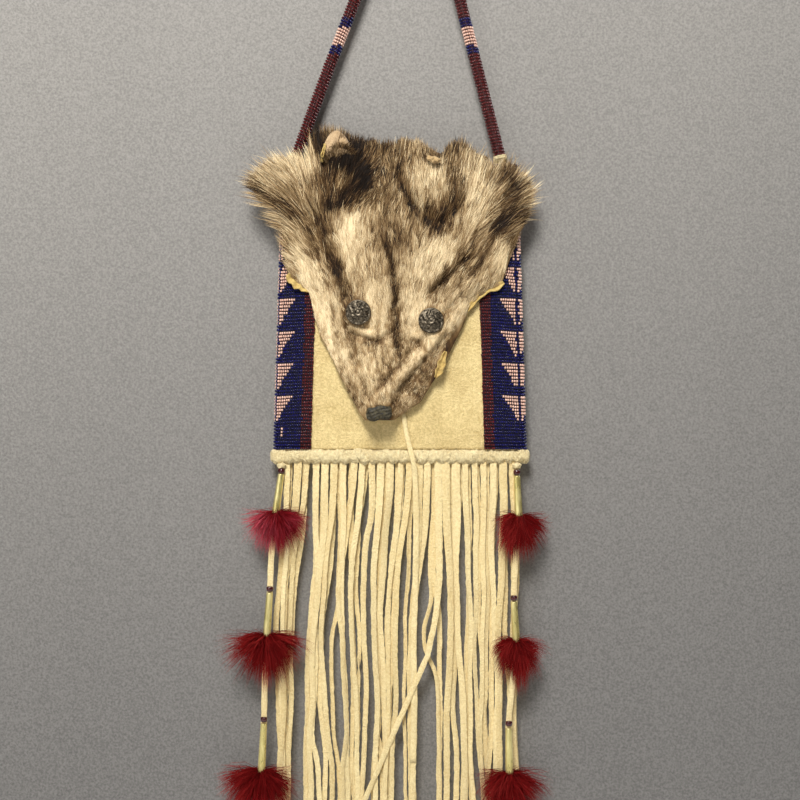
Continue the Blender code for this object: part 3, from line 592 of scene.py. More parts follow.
BEAD_POINTS, BEAD_FACES = bead_mesh()
print("one bead:", len(BEAD_FACES), "triangles")


def mesh_from_arrays(name, points, faces):
    """A mesh from an array of points and an array of faces that all have as many corners."""
    mesh = bpy.data.meshes.new(name)
    corners = faces.shape[1]
    mesh.vertices.add(len(points))
    mesh.vertices.foreach_set("co", np.asarray(points, np.float32).ravel())
    mesh.loops.add(faces.size)
    mesh.loops.foreach_set("vertex_index", np.asarray(faces, np.int32).ravel())
    mesh.polygons.add(len(faces))
    mesh.polygons.foreach_set("loop_start", np.arange(0, faces.size, corners, dtype=np.int32))
    mesh.update(calc_edges=True)
    return mesh


def beads_at(name, centres, along, out, length, height, finish):
    """Beads at many places. Along is the way of a bead's hole, and out is away from the cloth."""
    along = along / np.linalg.norm(along, axis=1, keepdims=True)
    across = np.cross(out, along)
    across /= np.linalg.norm(across, axis=1, keepdims=True)
    out = np.cross(along, across)
    sizes = np.stack([length, height, height * 1.12], axis=-1)
    local = BEAD_POINTS[None, :, :] * sizes[:, None, :] / 2
    places = (centres[:, None, :] + local[..., :1] * along[:, None, :]
              + local[..., 1:2] * across[:, None, :] + local[..., 2:] * out[:, None, :])
    count = len(BEAD_POINTS)
    faces = BEAD_FACES[None, :, :] + (np.arange(len(centres)) * count)[:, None, None]
    mesh = mesh_from_arrays(name, places.reshape(-1, 3), faces.reshape(-1, 3))
    return keep_mesh(name, mesh, finish)


# %% [markdown]
# The glass is opaque or nearly so. Each bead's tint differs a little, which noise with cells about
# as large as a bead gives, and the highlight on each one is what makes beadwork glitter.


# %% Bead finishes
def glass(name, tint, variation, roughness=0.10, coat=0.08, shine=0.5):
    """Glossy glass whose tint changes from bead to bead."""
    finish = Finish(name, roughness=roughness, specular_ior_level=shine, coat_roughness=0.06,
                    coat_ior=1.5)
    bead_tone = finish.spread(finish.noise(430.0, 1.0), 0.30, 0.70)
    dust = finish.spread(finish.noise(60.0, 3.0), 0.40, 0.75)
    dark = tuple(c * (1 - variation) for c in tint)
    pale = tuple(c * (1 + variation) + 0.002 for c in tint)
    finish.tint(bead_tone, dark, pale)
    finish.set("Roughness", roughness + dust * 0.10)
    finish.set("Coat Weight", coat - dust * coat * 0.5)
    return finish


navy_finish = glass("navy_glass", (0.0030, 0.0030, 0.062), 0.50, 0.07, 0.14, 0.26)
oxblood_finish = glass("oxblood_glass", (0.082, 0.0070, 0.0065), 0.45, 0.07, 0.22, 0.26)
pink_finish = glass("pink_glass", (0.70, 0.435, 0.335), 0.14, 0.22)
print("finishes so far:", len(bpy.data.materials))

# %% [markdown]
# The beads are sewn round the rope in a rising spiral, thirteen to a turn. Each bead's place is
# worked out along the rope's curve, with its hole across the rope. On each leg a pink band between
# two navy ones breaks the oxblood.

# %% Beads round the strap
STRAP_ROW = 0.0026
STRAP_ROUND = 13


def strap_beads():
    """Rings of beads round the strap: centres, hole directions and outward directions."""
    count = int(run_of(strap_path) / STRAP_ROW)
    path = np.array(strap_path)
    lengths = np.concatenate([[0], np.cumsum(np.linalg.norm(np.diff(path, axis=0), axis=1))])
    centres, along, out = [], [], []
    for k in range(count):
        for j in range(STRAP_ROUND):
            at = (k + 0.5 + j / STRAP_ROUND) * lengths[-1] / (count + 1)
            here = np.array([np.interp(at, lengths, path[:, i]) for i in range(3)])
            ahead = np.array([np.interp(at + 0.002, lengths, path[:, i]) for i in range(3)])
            back = np.array([np.interp(at - 0.002, lengths, path[:, i]) for i in range(3)])
            way = (ahead - back) / np.linalg.norm(ahead - back)
            side = np.cross(way, (0, 1, 0))
            side /= np.linalg.norm(side)
            angle = 2 * math.pi * j / STRAP_ROUND
            outward = side * math.cos(angle) + np.array((0, 1.0, 0)) * math.sin(angle)
            reach = STRAP_DIAMETER / 2 - 0.0009
            centres.append(here + outward * reach)
            out.append(outward)
            along.append(np.cross(way, outward) + way * 0.08)
    return np.array(centres), np.array(along), np.array(out)


rng = np.random.default_rng(11)
centres, along, out = strap_beads()
jitter = rng.normal(0, 0.00006, centres.shape)
sizes = 1 + rng.normal(0, 0.035, len(centres))
z = centres[:, 2]
band_pink = (z < -0.1143) & (z > -0.1302)
band_navy = ((z < -0.1067) & (z >= -0.1143)) | ((z <= -0.1302) & (z > -0.1370))
for name, chosen, finish in (("strap_beads_oxblood", ~(band_pink | band_navy), oxblood_finish),
                             ("strap_beads_navy", band_navy, navy_finish),
                             ("strap_beads_pink", band_pink, pink_finish)):
    beads_at(name, (centres + jitter)[chosen], along[chosen], out[chosen],
                                 0.00192 * sizes[chosen], 0.00205 * sizes[chosen], finish)
print("strap beads:", len(centres))

# %% [markdown]
# ## The tabs
# A strip of buckskin is sewn inside the mouth at each side and wrapped round the strap's end. It
# is a loft: flat at the bottom, round at the top, with the wrap's loose edge as a low step.


# %% The two tabs
def build_tab(side):
    x, lean = TAB_PLACES[side]
    top, up = tab_top(side)
    inside_y = EDGE_RADIUS - HIDE - CLEAR - 0.0010
    wrap = STRAP_DIAMETER / 2 + 0.0006
    spine = [(-0.0300, 0.0056, 0.0010, 0.4, 1.0), (-0.0120, 0.0056, 0.0010, 0.2, 1.0),
             (0.0008, 0.0058, 0.0011, 0.12, 0.6)]
    stations = [(Vector((x + lean * rise * share, inside_y * near, MOUTH_Z + rise)), a, b)
                for rise, a, b, share, near in spine]
    stations += [(top + up * rise, wrap * a, wrap * b)
                 for rise, a, b in ((-0.0032, 1.02, 0.60), (-0.0014, 1.0, 0.92),
                                    (0.0006, 0.98, 0.98), (0.0012, 0.90, 0.90))]
    rings = []
    for a, b in zip(stations, stations[1:]):
        for step in range(5):
            t = step / 5
            rings.append(oval(a[0].lerp(b[0], t), up, a[1] + (b[1] - a[1]) * t,
                              a[2] + (b[2] - a[2]) * t, 28))
    rings.append(oval(stations[-1][0], up, stations[-1][1], stations[-1][2], 28))
    for k, ring in enumerate(rings):
        middle = sum(ring, Vector()) / len(ring)
        for j, point in enumerate(ring):
            fold = 0.035 * math.sin(3 * j + 0.7 * k) + 0.05 * math.sin(j * 0.9 + k * 0.35)
            step_edge = 0.10 if 5 <= (j - k * 0.3) % 28 <= 13 else 0.0
            ring[j] = middle + (point - middle) * (1 + fold * 0.5 + step_edge * min(1, k / 18))
    tab = keep("tab_" + side, rings_to_bm(rings), roll_finish)
    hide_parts("strap_tab_" + side)
    return tab


for side in TAB_PLACES:
    tell(build_tab(side))

# %% [markdown]
# ## The dangles' thongs and the tie
# Two thin thongs hang from the ends of the roll, and a third ties the flap: it comes out through
# the front panel and hangs in front of the fringe. All three are limp cords.

# %% The routes of the hanging thongs
DANGLE_Y = 0.0082
DANGLE_X = {"left": -0.1076, "right": 0.0895}
ROUTES = {
    "left": [(0.0000, 0.0044, 0.0070), (-0.0045, DANGLE_Y, 0.0417), (-0.0080, DANGLE_Y, 0.0760),
             (-0.0092, DANGLE_Y, 0.1043), (-0.0120, DANGLE_Y, 0.1442), (-0.0136, DANGLE_Y, 0.1820),
             (-0.0142, DANGLE_Y, 0.2130), (-0.0163, DANGLE_Y, 0.2567), (-0.0170, DANGLE_Y, 0.2920)],
    "right": [(-0.0001, 0.0044, 0.0100), (0.0012, DANGLE_Y, 0.0450), (-0.0015, DANGLE_Y, 0.0800),
              (-0.0030, DANGLE_Y, 0.1118), (-0.0009, DANGLE_Y, 0.1484), (-0.0045, DANGLE_Y, 0.1860),
              (-0.0072, DANGLE_Y, 0.2164), (-0.0066, DANGLE_Y, 0.2593),
              (-0.0064, DANGLE_Y, 0.2940)]}
dangle_paths = {}
for side, route in ROUTES.items():
    start = (DANGLE_X[side], -0.0038, ROLL_BOTTOM - 0.0002)
    points = [(DANGLE_X[side] + right, -front, ROLL_BOTTOM - down) for right, front, down in route]
    dangle_paths[side] = smooth_path([start] + points, 60)
    print(side, "dangle's thong:", round(run_of(dangle_paths[side]), 4))


def thong_tube(name, path, widths, thick, finish, twist, seed):
    """A limp thong: a flat strip with soft edges that follows a path and narrows or widens."""
    noise = np.random.default_rng(seed)
    phase = noise.random() * 6
    rings = []
    for k, point in enumerate(path):
        share = k / (len(path) - 1)
        wide = (widths[0] + (widths[1] - widths[0]) * smoothstep(0.0, 0.3, share)) / 2
        wide *= 1 + 0.05 * math.sin(k * 1.7 + phase) + noise.normal(0, 0.03)
        ring = []
        axis = (path[min(k + 1, len(path) - 1)] - path[max(k - 1, 0)]).normalized()
        right = Vector((1, 0, 0))
        right = (right - axis * right.dot(axis)).normalized()
        other = axis.cross(right)
        roll = twist * math.sin(k * 0.2 + phase)
        for j in range(12):
            angle = 2 * math.pi * j / 12
            a = math.copysign(abs(math.cos(angle)) ** 0.6, math.cos(angle)) * wide
            b = math.copysign(abs(math.sin(angle)) ** 0.6, math.sin(angle)) * thick / 2
            ring.append(point + right * (a * math.cos(roll) - b * math.sin(roll))
                        + other * (a * math.sin(roll) + b * math.cos(roll)))
        rings.append(ring)
    bm = rings_to_bm(rings)
    paint_hue(bm, 0.75)
    return keep(name, bm, finish)


# %% [markdown]
# The tie comes out of the front panel under the muzzle, crosses the roll and hangs in front of the
# fringe. Its route keeps half its thickness off those surfaces, so that it touches them without
# sinking in.

# %% The tie thong
TIE_DIAMETER = 0.0034


def over_panel(x, z):
    """A point just in front of the front panel."""
    inset = flat_half(z) - abs(x - CENTRE_X)
    return (x, -float(skin(z, inset, True)) - TIE_DIAMETER / 2 - CLEAR, z)


over_roll = -(ROLL_DEPTH / 2 + 0.0007 + TIE_DIAMETER / 2 + CLEAR)
hang = -(0.0013 + 0.00065 + TIE_DIAMETER / 2 + CLEAR)
tie_path = smooth_path([
    over_panel(-0.0060, BASE_Z + 0.0330), over_panel(-0.0048, BASE_Z + 0.0250),
    over_panel(-0.0034, BASE_Z + 0.0150), (0.0000, over_roll, BASE_Z + 0.0010),
    (0.0018, over_roll, ROLL_Z), (0.0030, over_roll + 0.0004, ROLL_BOTTOM - 0.0005),
    (0.0042, hang - 0.0010, ROLL_BOTTOM - 0.0150), (0.0052, hang, ROLL_BOTTOM - 0.0500),
    (0.0045, hang, ROLL_BOTTOM - 0.1000), (0.0030, hang, ROLL_BOTTOM - 0.1500),
    (0.0036, hang, ROLL_BOTTOM - 0.2000), (0.0025, hang, ROLL_BOTTOM - 0.2500)], 70)
tie = thong_tube("tie", tie_path, (0.0036, 0.0052), 0.0017, thong_finish, 0.18, 5)
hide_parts("tie_thong")
print("tie thong:", round(run_of(tie_path), 4))

# %% [markdown]
# ## The pouch
# Each panel is a grid bent to the pouch's own surface, with soft waves in the open part, and given
# the hide's thickness. The waves fade under the beads, so that the beadwork lies on it.


def build_panel(front):
    name = "front" if front else "back"
    outward = -1 if front else 1

    def surface(u, v):
        z = MOUTH_Z - BODY_HEIGHT * v
        half = flat_half(z)
        x = (2 * u - 1) * half
        inset = half - np.abs(x)
        open_part = smoothstep(0.022 if front else 0.030, 0.045, inset)
        waves = (value_noise(x * 55 + 9, z * 42, 3) - 0.5) * 0.0016
        waves += (value_noise(x * 160, z * 130 + 40, 4) - 0.5) * 0.0005
        if front:
            crease = np.exp(-(((x - 0.052) * 0.35 + (z + 0.408)) / 0.0016) ** 2)
            waves -= crease * smoothstep(0.040, 0.050, x) * 0.0005
        deep = skin(z, inset, front) + np.minimum(waves * open_part, 0.0007)
        return np.stack([CENTRE_X + x, outward * deep, z], axis=-1)

    panel = keep(name + "_buckskin", bent_grid(90, 96, surface), panel_finish)
    mesh = panel.data
    facing = sum(polygon.normal.y for polygon in mesh.polygons)
    if facing * outward < 0:
        mesh.flip_normals()
    thicken(panel, HIDE)
    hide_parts(name + "_panel")
    return panel


tell(build_panel(True), build_panel(False))

# %% [markdown]
# ## The beadwork strips
# Rows of beads run round each side, 2.7 mm apart. A bead's place round the side and down it says
# which colour it has: oxblood in the two stripes, pink in the triangles, and navy elsewhere. The
# triangles step by one bead in each row, as woven ones do.

# %% Bead rows on the sides
BEAD_ROWS = 89
BEAD_LENGTH = 0.00188
STRIP_HALF = NAVY_HALF + CLEAR + STRIPE_WIDTH


def strip_beads(side, label, seed):
    """All beads of one side: centres, directions, sizes and a colour number each."""
    rng = np.random.default_rng(seed)
    shift = SIDE_SHIFT[label]
    columns = round(2 * STRIP_HALF / BEAD_LENGTH)
    row, column = np.meshgrid(np.arange(BEAD_ROWS), np.arange(columns), indexing="ij")
    row, column = row.ravel(), column.ravel()
    pitch = 2 * STRIP_HALF / columns
    s = shift - STRIP_HALF + (column + 0.5) * pitch
    uneven = rng.normal(0, 0.00028, BEAD_ROWS)
    s = s + uneven[row] + rng.normal(0, 0.00006, len(s))
    row_pitch = BODY_HEIGHT / BEAD_ROWS
    share = row / BEAD_ROWS
    sag = 0.00030 * np.sin(s * 130 + row * 0.31) + 0.00022 * np.sin(s * 47 + row * 0.13 + 2)
    sag = sag - 0.0007 * np.cos(s / 0.030 * math.pi)
    sag = sag * np.sin(math.pi * np.clip(share * 1.02, 0, 1)) ** 0.5
    z = MOUTH_Z - (row + 0.5) * row_pitch + sag + rng.normal(0, 0.00005, len(s))
    lift = CLEAR + BEAD / 2 + rng.normal(0, 0.00006, len(s))
    here = strip_point(side, s, z, lift)
    ahead = strip_point(side, s + 0.0005, z, lift)
    behind = strip_point(side, s - 0.0005, z, lift)
    out = strip_point(side, s, z, lift + 0.001) - here
    away = np.abs(s - shift)
    place = share * BODY_HEIGHT
    below = np.mod(place - TRIANGLE_TOP + 0.0008, TRIANGLE_PITCH)
    number = (place - TRIANGLE_TOP + 0.0008) // TRIANGLE_PITCH
    reach = (TRIANGLE_WIDTH - 0.0014) * (1 - below / TRIANGLE_HEIGHT)
    pink = ((away > CENTRE_LINE_HALF) & (away < CENTRE_LINE_HALF + reach)
            & (below < TRIANGLE_HEIGHT) & (number >= 0) & (number < TRIANGLE_COUNT))
    colour = np.where(away > NAVY_HALF, 1, np.where(pink, 2, 0))
    if label == "left":
        stray = np.abs(here[:, 0] + 0.1073) + np.abs(here[:, 2] + 0.4535) * 0.28
        stray[here[:, 1] > 0] = 9
        colour[stray < 0.0011] = 2
    swell = 1 + rng.normal(0, 0.035, len(s))
    return here, ahead - behind, out, pitch * 0.98 * swell, 0.00216 * swell, colour


NODES_OF = {0: ["bead_field_{}"], 1: ["bead_stripe_front_{}", "bead_stripe_back_{}"],
            2: ["bead_triangle_{}_" + str(k + 1) for k in range(TRIANGLE_COUNT)]}
for side, label, seed in ((-1, "left", 21), (1, "right", 22)):
    here, way, out, length, height, colour = strip_beads(side, label, seed)
    for number, (kind, finish) in enumerate((("navy", navy_finish), ("oxblood", oxblood_finish),
                                             ("pink", pink_finish))):
        chosen = colour == number
        piece = beads_at(f"beads_{kind}_{label}", here[chosen], way[chosen], out[chosen],
                         length[chosen], height[chosen], finish)
        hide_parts(*[node.format(label) for node in NODES_OF[number]])
        print(label, kind, int(chosen.sum()), "beads")

# %% [markdown]
# Behind the beads lies a sheet for the thread that holds them. Its near-black colour is painted
# shade: it shows between rows as their shadow, and it makes each row's edge crisp.

# %% The thread behind the beads, painted near-black as shade
shade_thread_finish = Finish("weft_thread_painted_shade", roughness=0.9)
# Painted shade: near-black, so that the gaps between rows of beads read as shadow.
shade_thread_finish.tint(shade_thread_finish.noise(1200.0), (0.006, 0.006, 0.012), (0.022, 0.018, 0.030))
for side, label in ((-1, "left"), (1, "right")):
    shift = SIDE_SHIFT[label]

    def lining(u, v, side=side, shift=shift):
        s = shift + (2 * u - 1) * (STRIP_HALF - 0.0004)
        return strip_point(side, s, MOUTH_Z - 0.0004 - (BODY_HEIGHT - 0.0008) * v, 0.0005)

    piece = keep("bead_thread_" + label, bent_grid(60, 24, lining), shade_thread_finish)
    tell(thicken(piece, 0.0008, 0.0))

# %% [markdown]
# ## The roll
# The base is closed by a fat roll of buckskin, whip-stitched with a buckskin lace. Each turn of
# the lace is a lump that leans a little, with a groove on either side. The roll is a swept oval
# whose size follows the turns.

# %% The whip-stitched roll
ROLL_LUMPS = 27
ROLL_STEPS = 14
ROLL_SIDES = 40


def build_roll():
    half = BODY_BASE_WIDTH / 2 + ROLL_OVERHANG
    rng = np.random.default_rng(31)
    fat = 1 + rng.normal(0, 0.06, ROLL_LUMPS + 3)
    fat[:2] += 0.10
    fat[-3:] += 0.10
    total = ROLL_LUMPS * ROLL_STEPS
    angle = 2 * math.pi * np.arange(ROLL_SIDES) / ROLL_SIDES
    rings = []
    for k in range(total + 1):
        x = -half + 2 * half * k / total
        end = min(1.0, min(k, total - k) / (ROLL_STEPS * 0.75))
        closing = math.sqrt(max(0.0, 1 - (1 - end) ** 2))
        lean = 0.22 * np.cos(angle) + 0.16 * np.sin(2 * angle)
        turn = np.mod(k / ROLL_STEPS + lean, 1)
        lump = np.clip((k / ROLL_STEPS + lean + 1).astype(int), 0, ROLL_LUMPS + 1)
        below = 0.5 - 0.5 * np.cos(angle)
        swell = 0.85 + (0.07 + 0.21 * below) * np.sin(math.pi * turn) ** 0.6
        rough = (value_noise(x * 420.0 + 0 * angle, angle * 2.2 + 4, 33) - 0.5) * 0.20
        rough += (value_noise(x * 1100.0 + 0 * angle, angle * 5.6 + 4, 34) - 0.5) * 0.17
        rough += (value_noise(x * 2300.0 + 0 * angle, angle * 12.0 + 4, 35) - 0.5) * 0.10
        size = (swell * fat[lump] + rough) * (0.25 + 0.75 * closing)
        rise = 0.0014 * np.clip(np.sin(angle), 0, 1) * np.clip(np.cos(angle), 0, 1) * 2
        rings.append([Vector((CENTRE_X + x, -math.sin(a) * (ROLL_DEPTH / 2 + 0.0002) * s,
                              ROLL_Z + 0.0004 + math.cos(a) * (ROLL_HEIGHT / 2 + 0.0002) * s + r))
                      for a, s, r in zip(angle, size, rise)])
    roll = keep("roll", rings_to_bm(rings), roll_finish)
    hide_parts("bottom_roll")
    return roll


tell(build_roll())

# %% [markdown]
# ## The fringe
# Two layers of buckskin are cut into thongs. A cut thong isn't flat: it twists a little, wanders,
# and overlaps its neighbours. Each one is a narrow grid that is bent, and the whole layer gets the
# hide's thickness at the end.

# %% The fringe's thongs
FRINGE_LENGTH = 0.3300
FRINGE_MARGIN = 0.0150
PARTINGS = [  # seen at, from which height down to which, half the gap in metres
    (429, 590, 960, 0.0070), (338, 610, 760, 0.0042), (317, 715, 960, 0.0042),
    (368, 480, 620, 0.0016), (452, 640, 900, 0.0014), (398, 700, 900, 0.0020)]
STRAYS = {16: [(0.0, 0.0), (0.30, 0.0010), (0.40, -0.0020), (0.50, -0.0090), (0.613, -0.0252),
               (0.72, -0.0403), (0.863, -0.0605), (1.0, -0.0770)]}


def parted(x, z):
    """Push thongs away from the wide gaps in the fringe."""
    push = np.zeros_like(x)
    for px, top, bottom, half in PARTINGS:
        gap_x, high = seen_at(px, top)
        low = seen_at(px, bottom)[1]
        inside = smoothstep(high + 0.020, high - 0.030, z)
        inside = inside * (1 - smoothstep(low + 0.03, low - 0.01, z))
        push += np.tanh((x - gap_x) / 0.0012) * half * inside * np.exp(-np.abs(x - gap_x) / 0.012)
    return x + push


def build_fringe(name, node, count, depth, seed, near):
    """One layer of thongs, at a depth behind the front."""
    rng = np.random.default_rng(seed)
    half = BODY_BASE_WIDTH / 2 - FRINGE_MARGIN + 0.002
    bm = bmesh.new()
    hues = []
    for k in range(count):
        across = k / (count - 1) - 0.5
        top = CENTRE_X + 2 * half * across + rng.normal(0, 0.0005 if near else 0.0012)
        length = FRINGE_LENGTH * (1 - 0.03 * rng.random())
        wide = rng.uniform(0.0044, 0.0072) if near else rng.uniform(0.0040, 0.0062)
        phase = rng.uniform(0, 2 * math.pi, 6)
        slow = rng.uniform(0.0016, 0.0062)
        swing = rng.uniform(-0.6, 0.6)
        turned = rng.random() < 0.12
        turn_at = rng.uniform(0.2, 0.9)
        cup = rng.uniform(-0.0006, 0.0006)
        stray = STRAYS.get(k) if near else None
        drift = (0.0072 if top < CENTRE_X + 0.028 else 0.0018) * rng.uniform(0.7, 1.3)

        def strand(u, v):
            u = np.interp(u, (0, 0.2, 0.4, 0.6, 0.8, 1), (0, 0.07, 0.35, 0.65, 0.93, 1))
            z = ROLL_BOTTOM + 0.0030 - length * v
            x = top + (top - CENTRE_X) * 0.05 * v - drift * smoothstep(0.0, 0.45, v)
            for size, turns, at, fade in ((slow, 2.4, phase[0], 0.25), (0.0015, 9, phase[1], 0.2)):
                x = x + size * (np.sin(turns * v + at) - math.sin(at)) * smoothstep(0, fade, v)
            x = x + 0.0005 * np.sin(26 * v + phase[2]) * smoothstep(0, 0.2, v)
            if stray:
                x = top + np.interp(v, [a for a, b in stray], [b for a, b in stray])
            else:
                x = parted(x, z)
            roll = swing * np.sin(5 * v + phase[3]) * smoothstep(0.0, 0.15, v)
            if turned:
                roll = roll + math.pi * smoothstep(turn_at - 0.05, turn_at + 0.05, v)
            y = depth + 0.0011 * smoothstep(0.0, 0.2, v) * np.sin(4 * v + phase[4])
            if stray:
                y = y - 0.0024 * smoothstep(0.3, 0.5, v)
            width = wide * (1 - 0.25 * smoothstep(0.02, 0.50, v))
            width = width * (1 - 0.30 * smoothstep(0.98, 1.0, v))
            ragged = (value_noise(v * 190 + 17 * k, np.round(u) * 7, seed) - 0.5) * 0.0010
            ragged += (value_noise(v * 60 + 31 * k, np.round(u) * 5, seed + 1) - 0.5) * 0.0008
            side = (u - 0.5) * (width + ragged * 2 * np.abs(u - 0.5))
            bow = cup * (1 - (2 * u - 1) ** 2)
            return np.stack([x + side * np.cos(roll), y + side * np.sin(roll) + bow,
                             z + side * 0.4 * smoothstep(0.985, 1.0, v)], axis=-1)

        before = len(bm.verts)
        bent_grid(5, 170, strand, bm)
        hues += [rng.random()] * (len(bm.verts) - before)
    paint_hue(bm, hues)
    fringe = keep(name, bm, thong_finish)
    thicken(fringe, 0.0009, 0.0)
    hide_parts(node)
    return fringe


tell(build_fringe("fringe_near", "fringe_front", 25, -0.0021, 41, True),
     build_fringe("fringe_far", "fringe_back", 26, 0.0016, 42, False))

# %% [markdown]
# ## Strands
# Fur and fluff are made of thousands of narrow tapered ribbons. Each ribbon has three pieces, so
# it can curve, and carries its tone from root to tip in an attribute that the finish reads.


# %% Ribbons from arrays
def ribbons(name, spine, across, tones, finish, body):
    """Tapered ribbons. Spine is (strands, 4, 3) points, across their half widths as vectors."""
    count = len(spine)
    taper = np.array([0.85, 1.0, 0.72])
    left = spine[:, :3] - across[:, None, :] * taper[None, :, None]
    right = spine[:, :3] + across[:, None, :] * taper[None, :, None]
    points = np.empty((count, 7, 3))
    points[:, 0:6:2] = left
    points[:, 1:6:2] = right
    points[:, 6] = spine[:, 3]
    pattern = np.array([(0, 1, 3), (0, 3, 2), (2, 3, 5), (2, 5, 4), (4, 5, 6)])
    faces = pattern[None] + (np.arange(count) * 7)[:, None, None]
    mesh = mesh_from_arrays(name, points.reshape(-1, 3), faces.reshape(-1, 3))
    values = np.empty((count, 7), np.float32)
    values[:, 0:6:2] = tones[:, :3]
    values[:, 1:6:2] = tones[:, :3]
    values[:, 6] = tones[:, 3]
    mesh.attributes.new("tone", "FLOAT", "POINT").data.foreach_set("value", values.ravel())
    return keep_mesh(name, mesh, finish, body)


def unit(vectors):
    return vectors / np.maximum(np.linalg.norm(vectors, axis=-1, keepdims=True), 1e-9)


# %% [markdown]
# ## The dangles
# From the top down, each dangle has a knot, a glass bead, a slender cone of rolled brass sheet and
# a red fluff, three times over. The cones are lofts that are open at the bottom, and the fluffs are
# tufts of dyed hair that spring out from under the cones.

# %% Finishes of the dangles
brass_finish = Finish("pale_brass", metallic=0.7, coat_roughness=0.2)
brass_wear = brass_finish.spread(brass_finish.noise(240.0, 3.0, 0.6, (1, 1, 0.2)), 0.35, 0.70)
brass_finish.tint(brass_wear, (0.58, 0.48, 0.165), (0.88, 0.76, 0.345))
brass_finish.set("Roughness", 0.26 + brass_wear * 0.14)
brass_finish.relief(brass_finish.noise(500.0, 2.0, 0.5, (1, 1, 0.2)), 0.00005, 0.3)


def dyed(name, dark, middle, pale):
    """Dyed hair from a dark root to a paler tip."""
    finish = Finish(name, roughness=0.8, specular_ior_level=0.08)
    tone = finish.attribute("tone")
    finish.set("Base Color", finish.node("ShaderNodeValToRGB", {
        "stops": [(0.0, dark), (0.45, middle), (1.0, pale)]}, {0: tone}))
    finish.set("Roughness", 0.72 + finish.noise(300.0) * 0.2)
    return finish


crimson_finish = dyed("crimson_hair", (0.035, 0.0008, 0.0008), (0.150, 0.0018, 0.0022),
                      (0.37, 0.030, 0.025))
rose_finish = dyed("rose_hair", (0.045, 0.001, 0.002), (0.200, 0.0036, 0.0075),
                   (0.52, 0.080, 0.108))
dark_glass = glass("dark_ruby_glass", (0.045, 0.0022, 0.0022), 0.2, 0.12, 0.5)


def place_on(path, z):
    """The point of a hanging thong at a height, and its direction upwards."""
    for a, b in zip(path, path[1:]):
        if b.z <= z:
            return a.lerp(b, (a.z - z) / (a.z - b.z)), (a - b).normalized()
    return path[-1].copy(), (path[-2] - path[-1]).normalized()


# %% [markdown]
# Each small piece is fitted to its thong's curve, which gives the point at a height and the way
# that the piece leans. The fluffs are random but seeded, so that every run grows the same hair.

# %% Beads, cones and knots of the dangles
def build_cone(name, node, path, top_z, base_z):
    """A rolled cone: a tapering tube with a lapped seam, a flared foot and a thin wall."""
    top, _ = place_on(path, top_z)
    base, _ = place_on(path, base_z)
    axis = (top - base).normalized()
    rings = []
    for share in (0.0, 0.012, 0.03, 0.25, 0.5, 0.75, 0.95, 0.985, 1.0):
        reach = 0.0023 + 0.00062 * share
        reach += {0.0: -0.00018, 0.985: 0.00006, 1.0: 0.00016}.get(share, 0)
        ring = oval(top.lerp(base, share), axis, reach, reach, 28, 0.4)
        middle = top.lerp(base, share)
        for j in range(3):
            ring[j + 15] = middle + (ring[j + 15] - middle) * (1.04, 1.08, 1.0)[j]
        rings.append(ring)
    cone = keep(name, rings_to_bm(rings, capped=False), brass_finish)
    thicken(cone, 0.0004)
    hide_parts(node)
    return cone


def build_glass_bead(name, node, path, z):
    """A round pony bead on the thong."""
    centre, axis = place_on(path, z)
    rings = []
    for k in range(11):
        turn = math.pi * (k + 0.5) / 11 - math.pi / 2
        reach = 0.0012 + 0.0018 * math.cos(turn) ** 0.7
        rings.append(oval(centre + axis * (0.0023 * math.sin(turn)), axis, reach, reach, 22))
    bead = keep(name, rings_to_bm(rings), dark_glass)
    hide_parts(node)
    return bead


def build_knot(name, centre, size, seed):
    """A lump of knotted buckskin."""
    bm = bmesh.new()
    bmesh.ops.create_icosphere(bm, subdivisions=3, radius=1.0)
    for vert in bm.verts:
        a, b, c = vert.co
        lump = 1 + 0.16 * math.sin(4 * a + seed) * math.sin(5 * c) + 0.12 * math.sin(6 * b + 4 * a)
        vert.co = Vector(centre) + Vector((a * size[0], b * size[1], c * size[2])) * lump
    paint_hue(bm, 0.9)
    return keep(name, bm, roll_finish)


STAGES = {
    "left": [(0.0062, 0.0090, 0.0417, 0.0778, 0.0300, 0.0270),
             (0.1043, 0.1075, 0.1442, 0.1887, 0.0410, 0.0330),
             (0.2130, 0.2164, 0.2567, 0.3050, 0.0350, 0.0320)],
    "right": [(0.0074, 0.0105, 0.0450, 0.0829, 0.0220, 0.0250),
              (0.1118, 0.1150, 0.1484, 0.1895, 0.0190, 0.0250),
              (0.2164, 0.2203, 0.2593, 0.3070, 0.0270, 0.0340)]}


